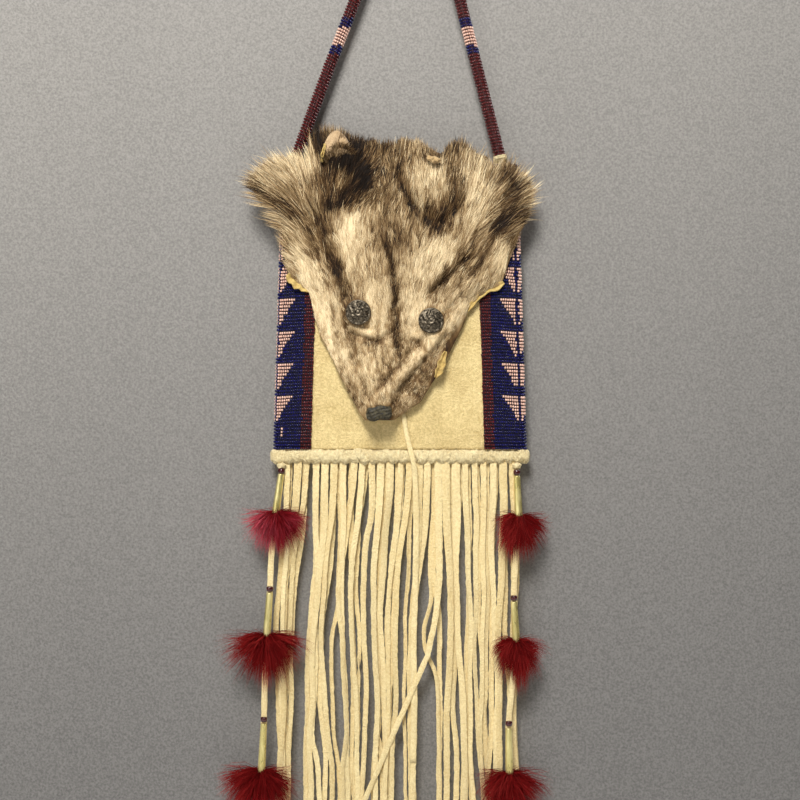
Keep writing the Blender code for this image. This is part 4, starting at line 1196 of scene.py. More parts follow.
def build_fluff(name, node, path, base_z, end_z, left, right, finish, seed, rosy):
    """A tuft: barbs leave the cone's mouth on all sides, spring out and droop."""
    rng = np.random.default_rng(seed)
    barbs, hairs = 95, 36
    count = barbs * hairs
    centre, _ = place_on(path, base_z)
    centre = np.array(centre) + (0, 0, 0.0015)
    turn = np.repeat(rng.uniform(0, 2 * math.pi, barbs), hairs)
    tip_over = np.repeat(math.radians(92) * rng.uniform(0, 1, barbs) ** 0.62, hairs)
    size = np.repeat(rng.uniform(0.86, 1.16, barbs), hairs)
    turn = turn + rng.normal(0, 0.16, count)
    tip_over = tip_over + rng.normal(0, 0.13, count)
    size = size * rng.uniform(0.55, 1.10, count)
    wild = rng.random(count) < 0.05
    tip_over = np.where(wild, np.radians(rng.uniform(70, 122, count)), tip_over)
    size = np.where(wild, rng.uniform(1.0, 1.22, count), size)
    wide = np.where(np.cos(turn) > 0, right, left) * np.cos(turn)
    deep = np.where(np.sin(turn) < 0, 0.0165, 0.0080) * np.sin(turn)
    out = np.sin(tip_over)
    fall = (base_z - end_z) * (0.16 + 0.86 * np.cos(tip_over))
    fall = np.where(np.cos(tip_over) < 0, (base_z - end_z) * (0.16 + 0.5 * np.cos(tip_over)), fall)
    curl = rng.normal(0, 0.0013, (count, 3))
    curl = curl + np.repeat(rng.normal(0, 0.0016, (barbs, 3)), hairs, axis=0)
    spine = np.empty((count, 4, 3))
    for k, t in enumerate((0.0, 0.33, 0.68, 1.0)):
        spine[:, k, 0] = centre[0] + wide * out * size * t ** 0.86 + curl[:, 0] * math.sin(2.6 * t)
        spine[:, k, 1] = centre[1] + deep * out * size * t ** 0.86 + curl[:, 1] * math.sin(2.2 * t)
        spine[:, k, 2] = centre[2] - fall * size * t ** 1.25 + curl[:, 2] * math.sin(3.4 * t)
    way = unit(spine[:, 3] - spine[:, 0])
    side = unit(np.cross(way, unit(rng.normal(0, 1, (count, 3)) + np.array((0, -1.2, 0)))))
    width = rng.uniform(0.00010, 0.00020, count)
    tone = np.repeat(rng.uniform(0.22, 0.62, barbs), hairs) + rng.normal(0, 0.08, count)
    tone += rosy * smoothstep(0.35, -0.6, np.cos(turn) * out) * 0.34
    tones = np.stack([tone * 0.25, tone * 0.80, tone * 1.05, tone * 1.45], axis=1)
    fluff = ribbons(name, spine, side * width[:, None], np.clip(tones, 0, 1), finish, "bag")
    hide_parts(node)
    return fluff


for side, stages in STAGES.items():
    path = dangle_paths[side]
    carried = [build_knot("dangle_knot_" + side, path[0] + Vector((0, -0.0002, -0.0016)),
                          (0.0036, 0.0029, 0.0026), len(side))]
    for n, stage in enumerate(stages):
        bead_z, cone_top, cone_base, fluff_end = [ROLL_BOTTOM - down for down in stage[:4]]
        label = f"{side}_{n + 1}"
        node = f"dangle_{side}_{{}}_{n + 1}"
        carried.append(build_glass_bead("pony_bead_" + label, node.format("bead"), path, bead_z))
        carried.append(build_cone("cone_" + label, node.format("cone"), path, cone_top, cone_base))
        finish, rosy = (rose_finish, 1.0) if label == "left_1" else (crimson_finish, 0.25)
        carried.append(build_fluff("fluff_" + label, node.format("fluff"), path, cone_base,
                                   fluff_end, stage[4], stage[5], finish,
                                   50 + 7 * n + len(side), rosy))
    thong = thong_tube("dangle_thong_" + side, path, (0.0034, 0.0050), 0.0013, thong_finish,
                       0.12, 61)
    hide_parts(f"dangle_{side}_thong")
    print(side, "dangle:", len(carried), "pieces on its thong")

# %% [markdown]
# ## The flap
# The flap is the head skin of a small furred animal, sewn on along the back panel's top edge. Its
# shape comes from two outlines and a thickness that rises at the cheeks, the brow, the muzzle and
# the folds. A point of the head is given by how far it is to the right of the pouch's middle and
# how far it is down from the seam.

# %% The shape of the head
HOOK_HALF_WIDTH = 0.0720
HOOK_OUTER_RISE = 0.0145
HOOK_RUN = 0.0400
BEHIND = -HOOK_RUN * 0.56  # hair below this is on the flap's back and stays short
OVER_MOUTH = 0.0260  # hide that runs over the mouth to the seam
UNDERCOAT = 0.62  # the undercoat's share of the whole coat's thickness
FLAP_HIDE = 0.0026
FLAP_LEFT = np.array([
    (0.0000, -HOOK_HALF_WIDTH), (0.0110, -HOOK_HALF_WIDTH), (0.0140, -0.1220),
    (0.0232, -0.1310), (0.0400, -0.1159), (0.0526, -0.1050), (0.0652, -0.0966),
    (0.0946, -0.0941), (0.1105, -0.0764), (0.1466, -0.0672), (0.1601, -0.0588),
    (0.1802, -0.0504), (0.1954, -0.0412), (0.2105, -0.0344), (0.2164, -0.0294)])
FLAP_RIGHT = np.array([
    (0.0000, HOOK_HALF_WIDTH), (0.0110, HOOK_HALF_WIDTH), (0.0140, 0.1050),
    (0.0232, 0.1130), (0.0440, 0.1075), (0.0660, 0.0983), (0.0860, 0.0907),
    (0.1037, 0.0848), (0.1080, 0.0739), (0.1205, 0.0588), (0.1373, 0.0529),
    (0.1541, 0.0445), (0.1760, 0.0336), (0.1869, 0.0260), (0.2012, 0.0176),
    (0.2079, 0.0067), (0.2164, -0.0042)])
FLAP_DROP = 0.2164
LEFT_EYE = (-0.0344, 0.1273)
RIGHT_EYE = (0.0256, 0.1340)
NOSE_AT = (-0.0172, 0.2105)
FOLD_START = np.array((0.0520, 0.1240))
FOLD_END = np.array((-0.0126, 0.1980))


def hump(distance, width):
    """A soft rise of height 1 that fades at about the width."""
    return np.exp(-(distance / width) ** 2)


def line_distance(x, drop, start, end):
    """Distance of points of the head from a straight line on it."""
    run = np.subtract(end, start)
    share = ((x - start[0]) * run[0] + (drop - start[1]) * run[1]) / (run @ run)
    share = np.clip(share, 0, 1)
    return np.hypot(x - start[0] - run[0] * share, drop - start[1] - run[1] * share)


def flap_inner(x, drop):
    """Distance of the flap's inner face from the middle plane."""
    z = np.minimum(HINGE_Z - drop, MOUTH_Z)
    inset = np.maximum(flat_half(z) - np.abs(x), 0)
    lift = CLEAR + BEAD + 0.0008 + 0.0022 * smoothstep(0.15, 0.20, drop)
    return skin(z, inset, True) + lift


def flap_pad(x, drop):
    """Thickness of the head skin and its fur."""
    pad = FLAP_HIDE + 0.0030
    pad = pad + 0.0060 * hump(np.abs(x) - 0.088, 0.034) * hump(drop - 0.035, 0.045)
    pad = pad + 0.0030 * hump(x + 0.004, 0.030) * hump(drop - 0.075, 0.060)
    pad = pad + 0.0042 * hump(x + 0.016, 0.018) * smoothstep(0.13, 0.20, drop)
    pad = pad + 0.0060 * hump(x + 0.046, 0.016) * hump(drop - 0.002, 0.022)
    pad = pad + 0.0055 * hump(x - 0.026, 0.016) * hump(drop - 0.012, 0.020)
    pad = pad - 0.0030 * hump(x + 0.046, 0.013) * hump(drop - 0.042, 0.018)
    pad = pad - 0.0030 * hump(x - 0.026, 0.013) * hump(drop - 0.055, 0.020)
    pad = pad + 0.0036 * hump(line_distance(x, drop, FOLD_START, FOLD_END), 0.0075)
    pad = pad - 0.0022 * hump(x + 0.009, 0.006) * hump(drop - 0.125, 0.040)
    return pad


def face_place(px, py):
    """A point of the head, (right of the middle, down from the seam), from where it is seen."""
    x, z = seen_at(px, py)
    return x - CENTRE_X, HINGE_Z - z


# %% [markdown]
# Creases make the face read as skin: between the eyes, beside each eye, over the muzzle and under
# the rolled fold. They are cut into the thickness as soft grooves, and the hair grows on top. Their
# shade is also painted into the hair's tone, darker in the grooves and paler on the folds.

# %% Creases and folds of the face
CREASE_FORCE = 1.7
RIDGE_FORCE = 1.8
CREASES = [  # start and end as seen, depth and width in metres
    ((392, 268), (395, 306), 0.0018, 0.0024), ((395, 306), (397, 336), 0.0022, 0.0024),
    ((397, 336), (402, 356), 0.0020, 0.0030), ((336, 240), (340, 270), 0.0013, 0.0030),
    ((340, 270), (353, 298), 0.0017, 0.0026), ((320, 222), (330, 262), 0.0020, 0.0030),
    ((330, 262), (345, 300), 0.0018, 0.0030), ((464, 262), (444, 284), 0.0026, 0.0026),
    ((444, 284), (430, 296), 0.0030, 0.0024), ((342, 300), (346, 330), 0.0014, 0.0030),
    ((346, 330), (358, 366), 0.0016, 0.0030), ((352, 334), (378, 343), 0.0018, 0.0020),
    ((378, 343), (392, 333), 0.0014, 0.0020), ((412, 342), (426, 352), 0.0016, 0.0022),
    ((446, 336), (424, 362), 0.0026, 0.0020), ((424, 362), (398, 392), 0.0026, 0.0020),
    ((475, 306), (450, 352), 0.0014, 0.0030), ((352, 360), (370, 398), 0.0014, 0.0026),
    ((392, 178), (414, 212), 0.0015, 0.0034), ((414, 212), (437, 232), 0.0018, 0.0034),
    ((437, 232), (455, 214), 0.0015, 0.0036)]
RIDGES = [
    ((352, 330), (372, 336), 0.0022, 0.0030), ((416, 338), (436, 336), 0.0020, 0.0030),
    ((334, 300), (350, 352), 0.0016, 0.0044), ((360, 345), (380, 400), 0.0014, 0.0050),
    ((404, 300), (404, 332), 0.0014, 0.0050), ((386, 290), (386, 330), 0.0012, 0.0044),
    ((470, 290), (440, 312), 0.0018, 0.0044)]

print("creases:", len(CREASES), "ridges:", len(RIDGES))


def creased_pad(x, drop):
    """The head's thickness with its creases and small ridges."""
    pad = flap_pad(x, drop)
    for start, end, deep, wide in CREASES:
        near = line_distance(x, drop, face_place(*start), face_place(*end))
        pad = pad - CREASE_FORCE * deep * hump(near, wide)
    for start, end, high, wide in RIDGES:
        near = line_distance(x, drop, face_place(*start), face_place(*end))
        pad = pad + RIDGE_FORCE * high * hump(near, wide)
    beside = line_distance(x, drop, FOLD_START, FOLD_END)
    pad = pad + 0.0030 * hump(beside, 0.0050) - 0.0026 * hump(beside - 0.0088, 0.0020)
    folds = value_noise(x * 240 + drop * 70 + 8, drop * 55 + 3, 72) - 0.5
    grooves = hump(2 * value_noise(x * 260 - drop * 80 + 4, drop * 90 + 7, 77) - 1, 0.24)
    pad = pad + (0.0020 * folds - 0.0016 * grooves) * smoothstep(0.100, 0.150, drop)
    return np.maximum(pad, 0.0016)


def painted_crease_shade(x, drop):
    """Painted shade, darker in the creases, and painted highlight, paler on the folds."""
    return np.clip((flap_pad(x, drop) - creased_pad(x, drop)) / 0.0028, -0.7, 1) * 0.19


def outline(drop):
    """The head's left and right edge at a drop from the seam. Above the seam it keeps its width."""
    left = np.interp(drop, FLAP_LEFT[:, 0], FLAP_LEFT[:, 1])
    right = np.interp(drop, FLAP_RIGHT[:, 0], FLAP_RIGHT[:, 1])
    return left, right


def skin_outline(drop):
    """The bare skin's edges: the long hair of the cheeks stands out past them."""
    left, right = outline(drop)
    inset = 0.020 * (1 - smoothstep(0.035, 0.085, drop)) + 0.0015
    near_seam = 0.0010 + (inset - 0.0010) * smoothstep(0.0110, 0.0140, drop)
    inset = np.where(drop < 0.0140, near_seam, inset)
    return left + inset * 0.85, right - inset * 0.55


def levelled(x, drop, depth_of):
    """Make the head level under the two buttons and the nose."""
    depth = depth_of(x, drop)
    for place, flat, fade in ((LEFT_EYE, 0.010, 0.017), (RIGHT_EYE, 0.010, 0.017),
                              (NOSE_AT, 0.010, 0.017)):
        reach = np.hypot(x - place[0], drop - place[1])
        level = flap_inner(*place) + flap_pad(*place)
        depth = level + (depth - level) * smoothstep(flat, fade, reach)
    return depth


def coat(x, down, fullness):
    """A point of the coat. Down is negative over the mouth, as far as the seam at the back."""
    x = np.asarray(x, float)
    down = np.asarray(down, float)
    drop = np.maximum(down, 0)
    left, right = outline(drop)
    edge = np.clip(np.minimum(x - left, right - x) / 0.016, 0, 1)
    edge = np.where(down < 0.012, 1.0, np.sqrt(edge))
    inner = flap_inner(x, drop)
    full = levelled(x, drop, lambda a, b: flap_inner(a, b) + creased_pad(a, b)) - inner
    seat = np.zeros(np.shape(x))
    for place in (LEFT_EYE, RIGHT_EYE, NOSE_AT) if fullness > 0 else ():
        near = np.hypot(x - place[0], drop - place[1])
        seat = np.maximum(seat, 1 - smoothstep(0.0100, 0.0165, near))
    share = fullness + (0.98 - fullness) * seat
    edge = edge + (1 - edge) * seat
    deep = inner + full * share * (0.25 + 0.75 * edge)
    turn = np.clip(math.pi * (1 + np.minimum(down, 0) / HOOK_RUN), 0, math.pi)
    back = HINGE_Y + 0.0012
    middle, half = (back - deep) / 2, (back + deep) / 2
    rise = 0.0088 + (HOOK_OUTER_RISE - 0.0088) * fullness
    rise = rise * (1 - 0.62 * smoothstep(0.050, 0.068, x)) * (1 - 0.50 * hump(x - 0.0345, 0.0085))
    y = np.where(down < 0, middle + half * np.cos(turn), -deep)
    z = np.where(down < 0, HINGE_Z + rise * np.sin(turn), HINGE_Z - drop)
    return np.stack([CENTRE_X + x, y, z], axis=-1)


# %% [markdown]
# The fur's tone is a sum of soft patches: each has a place, a size, a tilt and a strength, dark or
# pale. The order is from the top of the head down to the muzzle. Most are the fur's markings, but
# some are painted light: the dark ones in the left ear's hollow are painted shadow, thin dark ones
# along the creases are painted crease shade, and thin pale ones along the ridges and the rolled
# fold are painted highlight.

# %% Markings of the fur
TONE_BASE = 0.40
MARKINGS_AND_PAINTED_SHADE = [  # seen at, half width and half height as seen, tilt in degrees, strength
    (352, 166, 14, 16, -10, 0.44), (337, 172, 11, 17, -6, 0.50), (326, 166, 7, 16, 0, 0.24),
    (360, 184, 12, 16, -14, 0.62), (350, 204, 13, 10, -20, 0.56), (338, 214, 8, 10, -20, 0.34),
    (366, 196, 7, 10, -14, 0.40), (322, 178, 8, 46, 2, 0.28), (306, 206, 6, 34, -10, 0.12),
    (386, 172, 17, 34, 0, 0.24), (364, 150, 16, 10, 0, 0.34), (396, 150, 16, 7, 0, 0.05),
    (392, 247, 26, 16, 0, 0.34), (388, 222, 9, 26, 0, 0.16), (404, 186, 5, 28, -12, 0.24),
    (412, 208, 5, 14, -24, 0.22), (424, 162, 14, 7, 0, 0.34), (458, 153, 9, 14, -20, 0.26),
    (448, 178, 6, 20, -6, 0.26), (440, 214, 16, 13, -10, 0.36), (455, 200, 5, 22, 8, 0.26),
    (432, 230, 13, 6, 30, 0.36), (508, 204, 11, 26, -6, 0.42), (494, 186, 9, 10, -40, 0.34),
    (496, 231, 20, 6, -30, 0.40), (503, 236, 9, 12, 0, 0.22), (476, 262, 9, 30, 26, 0.34),
    (462, 258, 5, 18, 38, 0.34), (440, 284, 5, 14, 46, 0.26), (262, 198, 9, 4, 20, 0.34),
    (279, 205, 17, 5, 30, 0.36), (298, 222, 16, 5, 40, 0.30), (318, 250, 8, 26, -26, 0.16),
    (334, 250, 4, 26, -6, 0.22), (344, 284, 4.5, 20, -28, 0.24), (330, 214, 6, 24, 4, 0.26),
    (393, 296, 3.2, 34, -3, 0.26), (398, 340, 4, 16, -16, 0.22), (382, 358, 20, 24, 0, -0.04),
    (356, 396, 9, 12, -24, 0.08), (428, 386, 9, 18, 36, 0.10), (446, 352, 3.5, 16, 26, 0.26),
    (412, 372, 3.5, 32, 44, 0.20), (378, 405, 14, 5, 0, 0.08), (404, 141, 52, 7, 0, 0.10),
    (362, 139, 18, 8, 0, 0.10), (318, 146, 9, 14, 0, 0.26), (352, 318, 3, 26, -16, 0.20),
    (342, 330, 2.5, 28, -22, 0.22), (372, 342, 10, 3, 6, 0.24), (300, 168, 18, 20, -30, -0.36),
    (268, 172, 14, 12, 20, -0.06), (284, 236, 14, 12, 20, -0.06), (352, 244, 14, 24, -6, -0.34),
    (432, 262, 16, 22, 8, -0.30), (478, 196, 14, 28, 16, -0.26), (428, 190, 12, 15, -20, -0.30),
    (526, 190, 10, 14, 10, -0.36), (520, 216, 6, 10, 0, -0.24), (482, 244, 14, 7, -32, -0.26),
    (343, 193, 4, 9, -30, -0.26), (420, 147, 10, 5, 0, -0.16), (476, 168, 10, 8, 20, -0.20),
    (326, 322, 9, 38, -18, -0.34), (352, 362, 7, 28, -22, -0.30), (374, 306, 9, 26, 0, -0.26),
    (414, 312, 8, 28, 0, -0.30), (426, 358, 7, 36, 44, -0.30), (464, 312, 9, 22, 36, -0.26),
    (306, 268, 9, 16, 0, -0.26), (498, 262, 8, 12, 0, -0.34), (404, 402, 12, 6, 20, -0.16),
    (366, 331, 12, 4, 0, -0.22), (432, 340, 10, 4, 0, -0.22), (300, 290, 12, 10, 0, -0.20),
    (286, 258, 6, 12, 0, -0.20)]

print("soft patches:", len(MARKINGS_AND_PAINTED_SHADE))


def tone_at(x, down):
    """How dark the fur is, with painted shade and highlight: 0 is cream and 1 is nearly black."""
    tone = np.full(np.shape(x), TONE_BASE)
    worn = x
    x = x + (value_noise(worn * 130 + 3, down * 75, 74) - 0.5) * 0.0090
    down = down + (value_noise(worn * 90, down * 60 + 9, 75) - 0.5) * 0.0110
    tone = tone + (value_noise(worn * 420, down * 110, 76) - 0.5) * 0.22
    # The patches add the fur's markings and also painted shadow, crease shade and highlight.
    for px, py, wide, high, tilt, strength in MARKINGS_AND_PAINTED_SHADE:
        cx, cd = face_place(px, py)
        turn = math.radians(tilt)
        a, b = x - cx, down - cd
        u = (a * math.cos(turn) + b * math.sin(turn)) / (wide * PIXEL)
        v = (-a * math.sin(turn) + b * math.cos(turn)) / (high * PIXEL)
        tone = tone + strength * np.exp(-0.9 * (u * u + v * v))
    return tone


# %% [markdown]
# Hair grows from the nose backwards, so on the hanging head its tips point up, and out at the
# cheeks. A few directions are given, and every strand takes the average of those near it.

# %% The way the hair lies
FLOW = [  # seen at, and the way to the tip: right and down
    (380, 405, -0.05, -1.0), (350, 380, -0.35, -1.0), (415, 378, 0.55, -1.0),
    (332, 330, -0.22, -1.0), (318, 280, -0.30, -1.0), (300, 250, -0.60, -0.85),
    (282, 225, -1.0, -0.45), (270, 205, -1.0, -0.42), (262, 190, -1.0, -0.35),
    (290, 190, -0.85, -0.62), (285, 160, -0.75, -0.70), (303, 165, -0.45, -0.95),
    (320, 160, -0.14, -1.0), (320, 200, -0.22, -1.0), (345, 175, 0.30, -1.0),
    (356, 195, 0.55, -0.85), (366, 186, 0.80, -0.60), (350, 212, 0.50, -0.85),
    (338, 232, -0.10, -1.0), (388, 150, 0.0, -1.0), (378, 190, -0.12, -1.0),
    (402, 190, 0.12, -1.0), (388, 250, 0.0, -1.0), (350, 275, -0.12, -1.0),
    (372, 310, -0.05, -1.0), (405, 310, 0.08, -1.0), (392, 350, 0.05, -1.0),
    (430, 200, 0.05, -1.0), (425, 165, 0.10, -1.0), (455, 160, 0.15, -1.0), (445, 240, 0.30, -1.0),
    (470, 200, 0.32, -1.0), (485, 175, 0.40, -0.95), (497, 195, 0.70, -0.75),
    (512, 190, 0.75, -0.65), (510, 215, 1.0, -0.30), (490, 240, 0.75, -0.65),
    (470, 262, 0.60, -0.85), (500, 262, 0.35, -0.9), (450, 290, 0.50, -0.95),
    (425, 300, 0.25, -1.0), (462, 330, 0.40, -0.9), (505, 182, 0.08, -1.0), (494, 178, 0.05, -1.0),
    (277, 236, -1.0, 0.12), (268, 222, -1.0, -0.1), (290, 262, -0.75, -0.5),
    (312, 150, 0.05, -1.0), (318, 140, 0.05, -1.0)]

print("given directions:", len(FLOW))


def flow_at(x, down):
    """The unit direction, right and down, of the hair at points of the head."""
    way = np.zeros(np.shape(x) + (2,))
    for px, py, right, below in FLOW:
        cx, cd = face_place(px, py)
        near = ((x - cx) ** 2 + (down - cd) ** 2) / 0.010 ** 2
        weight = 1 / (0.05 + near) ** 1.8
        size = math.hypot(right, below)
        way += weight[..., None] * np.array((right / size, below / size))
    return unit(way)


# %% [markdown]
# One finish serves all the hair. It turns the tone that each strand carries into a colour, from
# cream over brown to nearly black, so that a hundred thousand strands need only one material.

# %% Finishes of the flap
FUR_TINTS = [(0.0, (0.93, 0.765, 0.475)), (0.20, (0.71, 0.545, 0.315)),
             (0.42, (0.400, 0.268, 0.128)), (0.64, (0.130, 0.070, 0.025)),
             (0.84, (0.034, 0.016, 0.006)), (1.0, (0.007, 0.004, 0.002))]
fur_finish = Finish("fur_hair", specular_ior_level=0.18)
fur_tone = fur_finish.attribute("tone")
fur_fleck = fur_finish.noise(900.0, 1.0)
fur_finish.set("Base Color", fur_finish.node("ShaderNodeValToRGB", {"stops": FUR_TINTS},
                                             {0: fur_tone + (fur_fleck - 0.5) * 0.08}))
fur_finish.set("Roughness", 0.55 + fur_fleck * 0.2)
hide_finish = buckskin("flap_hide_leather", (0.66, 0.490, 0.175), (0.34, 0.208, 0.055))

# %% [markdown]
# Under the hair are two sheets: the hide itself, whose yellow cut edge shows at the two notches,
# and a dense undercoat that closes the view between the strands.

# %% The hide and the undercoat
def head_sheet(columns, rows, fullness, grow_out, top):
    """A sheet over the whole head, from over the mouth to the muzzle's end."""
    def surface(u, v):
        down = top + (FLAP_DROP - top) * v
        left, right = skin_outline(np.maximum(down, 0))
        left, right = left - grow_out, right + grow_out
        x = left + (right - left) * u
        return coat(x, down, fullness)
    return bent_grid(columns, rows, surface)


hide = keep("flap_hide", head_sheet(72, 110, 0.0, 0.0, -HOOK_RUN), hide_finish, "flap")
thicken(hide, 0.0010, 0.0)
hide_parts("fur_flap")
steps = np.linspace(0, FLAP_DROP, 400)
edges = skin_outline(steps)
hide_area = float((edges[1] - edges[0]).mean()) * FLAP_DROP + 2 * HOOK_HALF_WIDTH * OVER_MOUTH
hide_flat = (round(float((edges[1] - edges[0]).max()), 4), round(FLAP_DROP + OVER_MOUTH, 4))
print("the flap's hide:", hide_flat, "area", round(hide_area, 5))
undercoat = keep("flap_undercoat", head_sheet(110, 170, UNDERCOAT, 0.0006, -HOOK_RUN * 0.94),
                 fur_finish, "flap")
mesh = undercoat.data
places = np.empty(len(mesh.vertices) * 3, np.float32)
mesh.vertices.foreach_get("co", places)
places = places.reshape(-1, 3)
under_x, under_down = places[:, 0] - CENTRE_X, HINGE_Z - places[:, 2]
under_tone = tone_at(under_x, under_down) * 0.95 + 0.14
# Painted shade in the creases and painted highlight on the folds, in the undercoat's tone.
under_tone += painted_crease_shade(under_x, np.maximum(under_down, 0))
under_tone += (value_noise(under_x * 900, under_down * 160, 71) - 0.5) * 0.18
mesh.attributes.new("tone", "FLOAT", "POINT").data.foreach_set(
    "value", np.clip(under_tone, 0, 0.9).astype(np.float32))
thicken(undercoat, 0.0010, -1.0)

# %% [markdown]
# Where the flap was cut, the bare yellow side of the hide curls out past the hair: a corner at the
# left, an edge from the right notch downwards, a sliver beside the muzzle and the ear's own edge.

# %% Bare edges of the hide
EDGES = {  # the bare strip's middle as seen, its half width and how far it stands off the fur
    "left_corner": ([(288, 275.5), (292, 279.5), (299, 284), (305, 288), (309.5, 292)],
                    [0.0018, 0.0040, 0.0052, 0.0042, 0.0016], 0.0022),
    "left_ear": ([(326.5, 149), (326, 153), (325, 157), (324, 161), (323, 166)],
                 [0.0003, 0.0007, 0.0009, 0.0009, 0.0004], 0.0118),
    "right_notch": ([(503, 283.5), (500, 285.5), (494, 288), (488, 290), (482, 294.5), (476, 300),
                     (471, 306), (466, 313)],
                    [0.0012, 0.0030, 0.0034, 0.0022, 0.0019, 0.0019, 0.0016, 0.0008], 0.0020),
    "right_sliver": ([(445, 352), (443, 358), (441, 365), (438.5, 372), (435, 378)],
                     [0.0008, 0.0022, 0.0032, 0.0028, 0.0010], 0.0040)}


def build_edge(label, middle, halves, proud):
    """A bare, slightly curled strip of hide along the flap's cut edge."""
    line = smooth_path([(*face_place(*place), 0) for place in middle], 28)
    x = np.array([point.x for point in line])
    down = np.array([point.y for point in line])
    half = np.interp(np.linspace(0, 1, 28), np.linspace(0, 1, len(halves)), halves)
    way = unit(np.stack([np.gradient(x), np.gradient(down)], axis=1))

    def surface(u, v):
        k = v * 27
        at = np.arange(28)
        cx, cd = np.interp(k, at, x), np.interp(k, at, down)
        wide = np.interp(k, at, half) * (1 + 0.16 * np.sin(v * 19 + len(label)))
        nx, nd = -np.interp(k, at, way[:, 1]), np.interp(k, at, way[:, 0])
        place_x, place_down = cx + nx * (2 * u - 1) * wide, cd + nd * (2 * u - 1) * wide
        base = coat(place_x, place_down, 0.0)
        curl = proud * (0.45 + 0.55 * (2 * u - 1) ** 2) + 0.0004 * np.sin(v * 23)
        out = np.where(place_down < 0, 0.0060, 0)
        base[:, 1] -= curl + out
        base[:, 2] = HINGE_Z - place_down
        return base

    strip = keep("hide_edge_" + label, bent_grid(8, 40, surface), hide_finish, "flap")
    return thicken(strip, 0.0009, 0.0)


for label, (middle, halves, proud) in EDGES.items():
    tell(build_edge(label, middle, halves, proud))

# %% [markdown]
# Now the hair. Roots are thrown over the skin at random, and each strand gets its length, lean,
# curve and tone from where it grows: long on the cheeks and along the top, short on the muzzle.


# %% Growing the hair
FUR_OUTLINE = np.array([
    (336, 134), (345, 134), (352, 141), (358, 140), (366, 144), (373, 143), (380, 146), (386, 145),
    (394, 146), (402, 142), (409, 144), (417, 143), (424, 147), (432, 152), (441, 156), (448, 149),
    (455, 145), (462, 145), (469, 151), (484, 160), (497, 166), (507, 162), (518, 166), (528, 177),
    (537, 191), (532, 205), (527, 220), (518, 240), (508, 256), (503, 272), (497, 281), (484, 292),
    (470, 304), (462, 319), (451, 336), (439, 355), (432, 374), (427, 391), (416, 404), (400, 413),
    (366, 414), (353, 403), (342, 383), (330, 357), (319, 332), (313, 311), (311, 296), (308, 285),
    (299, 277), (289, 273), (284, 262), (281, 250), (272, 240), (258, 236), (250, 221), (246, 209),
    (240, 190), (247, 176), (255, 166), (266, 157), (278, 149), (291, 146), (301, 141), (310, 136),
    (318, 134), (327, 131)], float)


def picture_place(points):
    """Where points are seen in the picture, in pixels."""
    near = CAMERA_DISTANCE / (CAMERA_DISTANCE + points[..., 1]) / PIXEL
    return np.stack([400 + (points[..., 0] - CENTRE_X) * near,
                     400 - (points[..., 2] - CAMERA_HEIGHT) * near], axis=-1)


def inside_outline(seen):
    """Which places of the picture lie inside the fur's outline."""
    x, y = seen[..., 0, None], seen[..., 1, None]
    ax, ay = FUR_OUTLINE[:, 0], FUR_OUTLINE[:, 1]
    bx, by = np.roll(ax, -1), np.roll(ay, -1)
    crossing = (ay > y) != (by > y)
    at = ax + (y - ay) / np.where(by == ay, 1e-9, by - ay) * (bx - ax)
    return (crossing & (x < at)).sum(axis=-1) % 2 == 1


def hair_length(x, down):
    """The length of the hair at points of the head."""
    cheek = hump(np.abs(x) - 0.098, 0.040) * hump(down - 0.022, 0.050)
    long_hair = 0.0120 + 0.0210 * cheek
    muzzle = smoothstep(0.080, 0.150, down)
    return long_hair * (1 - muzzle) + 0.0040 * muzzle


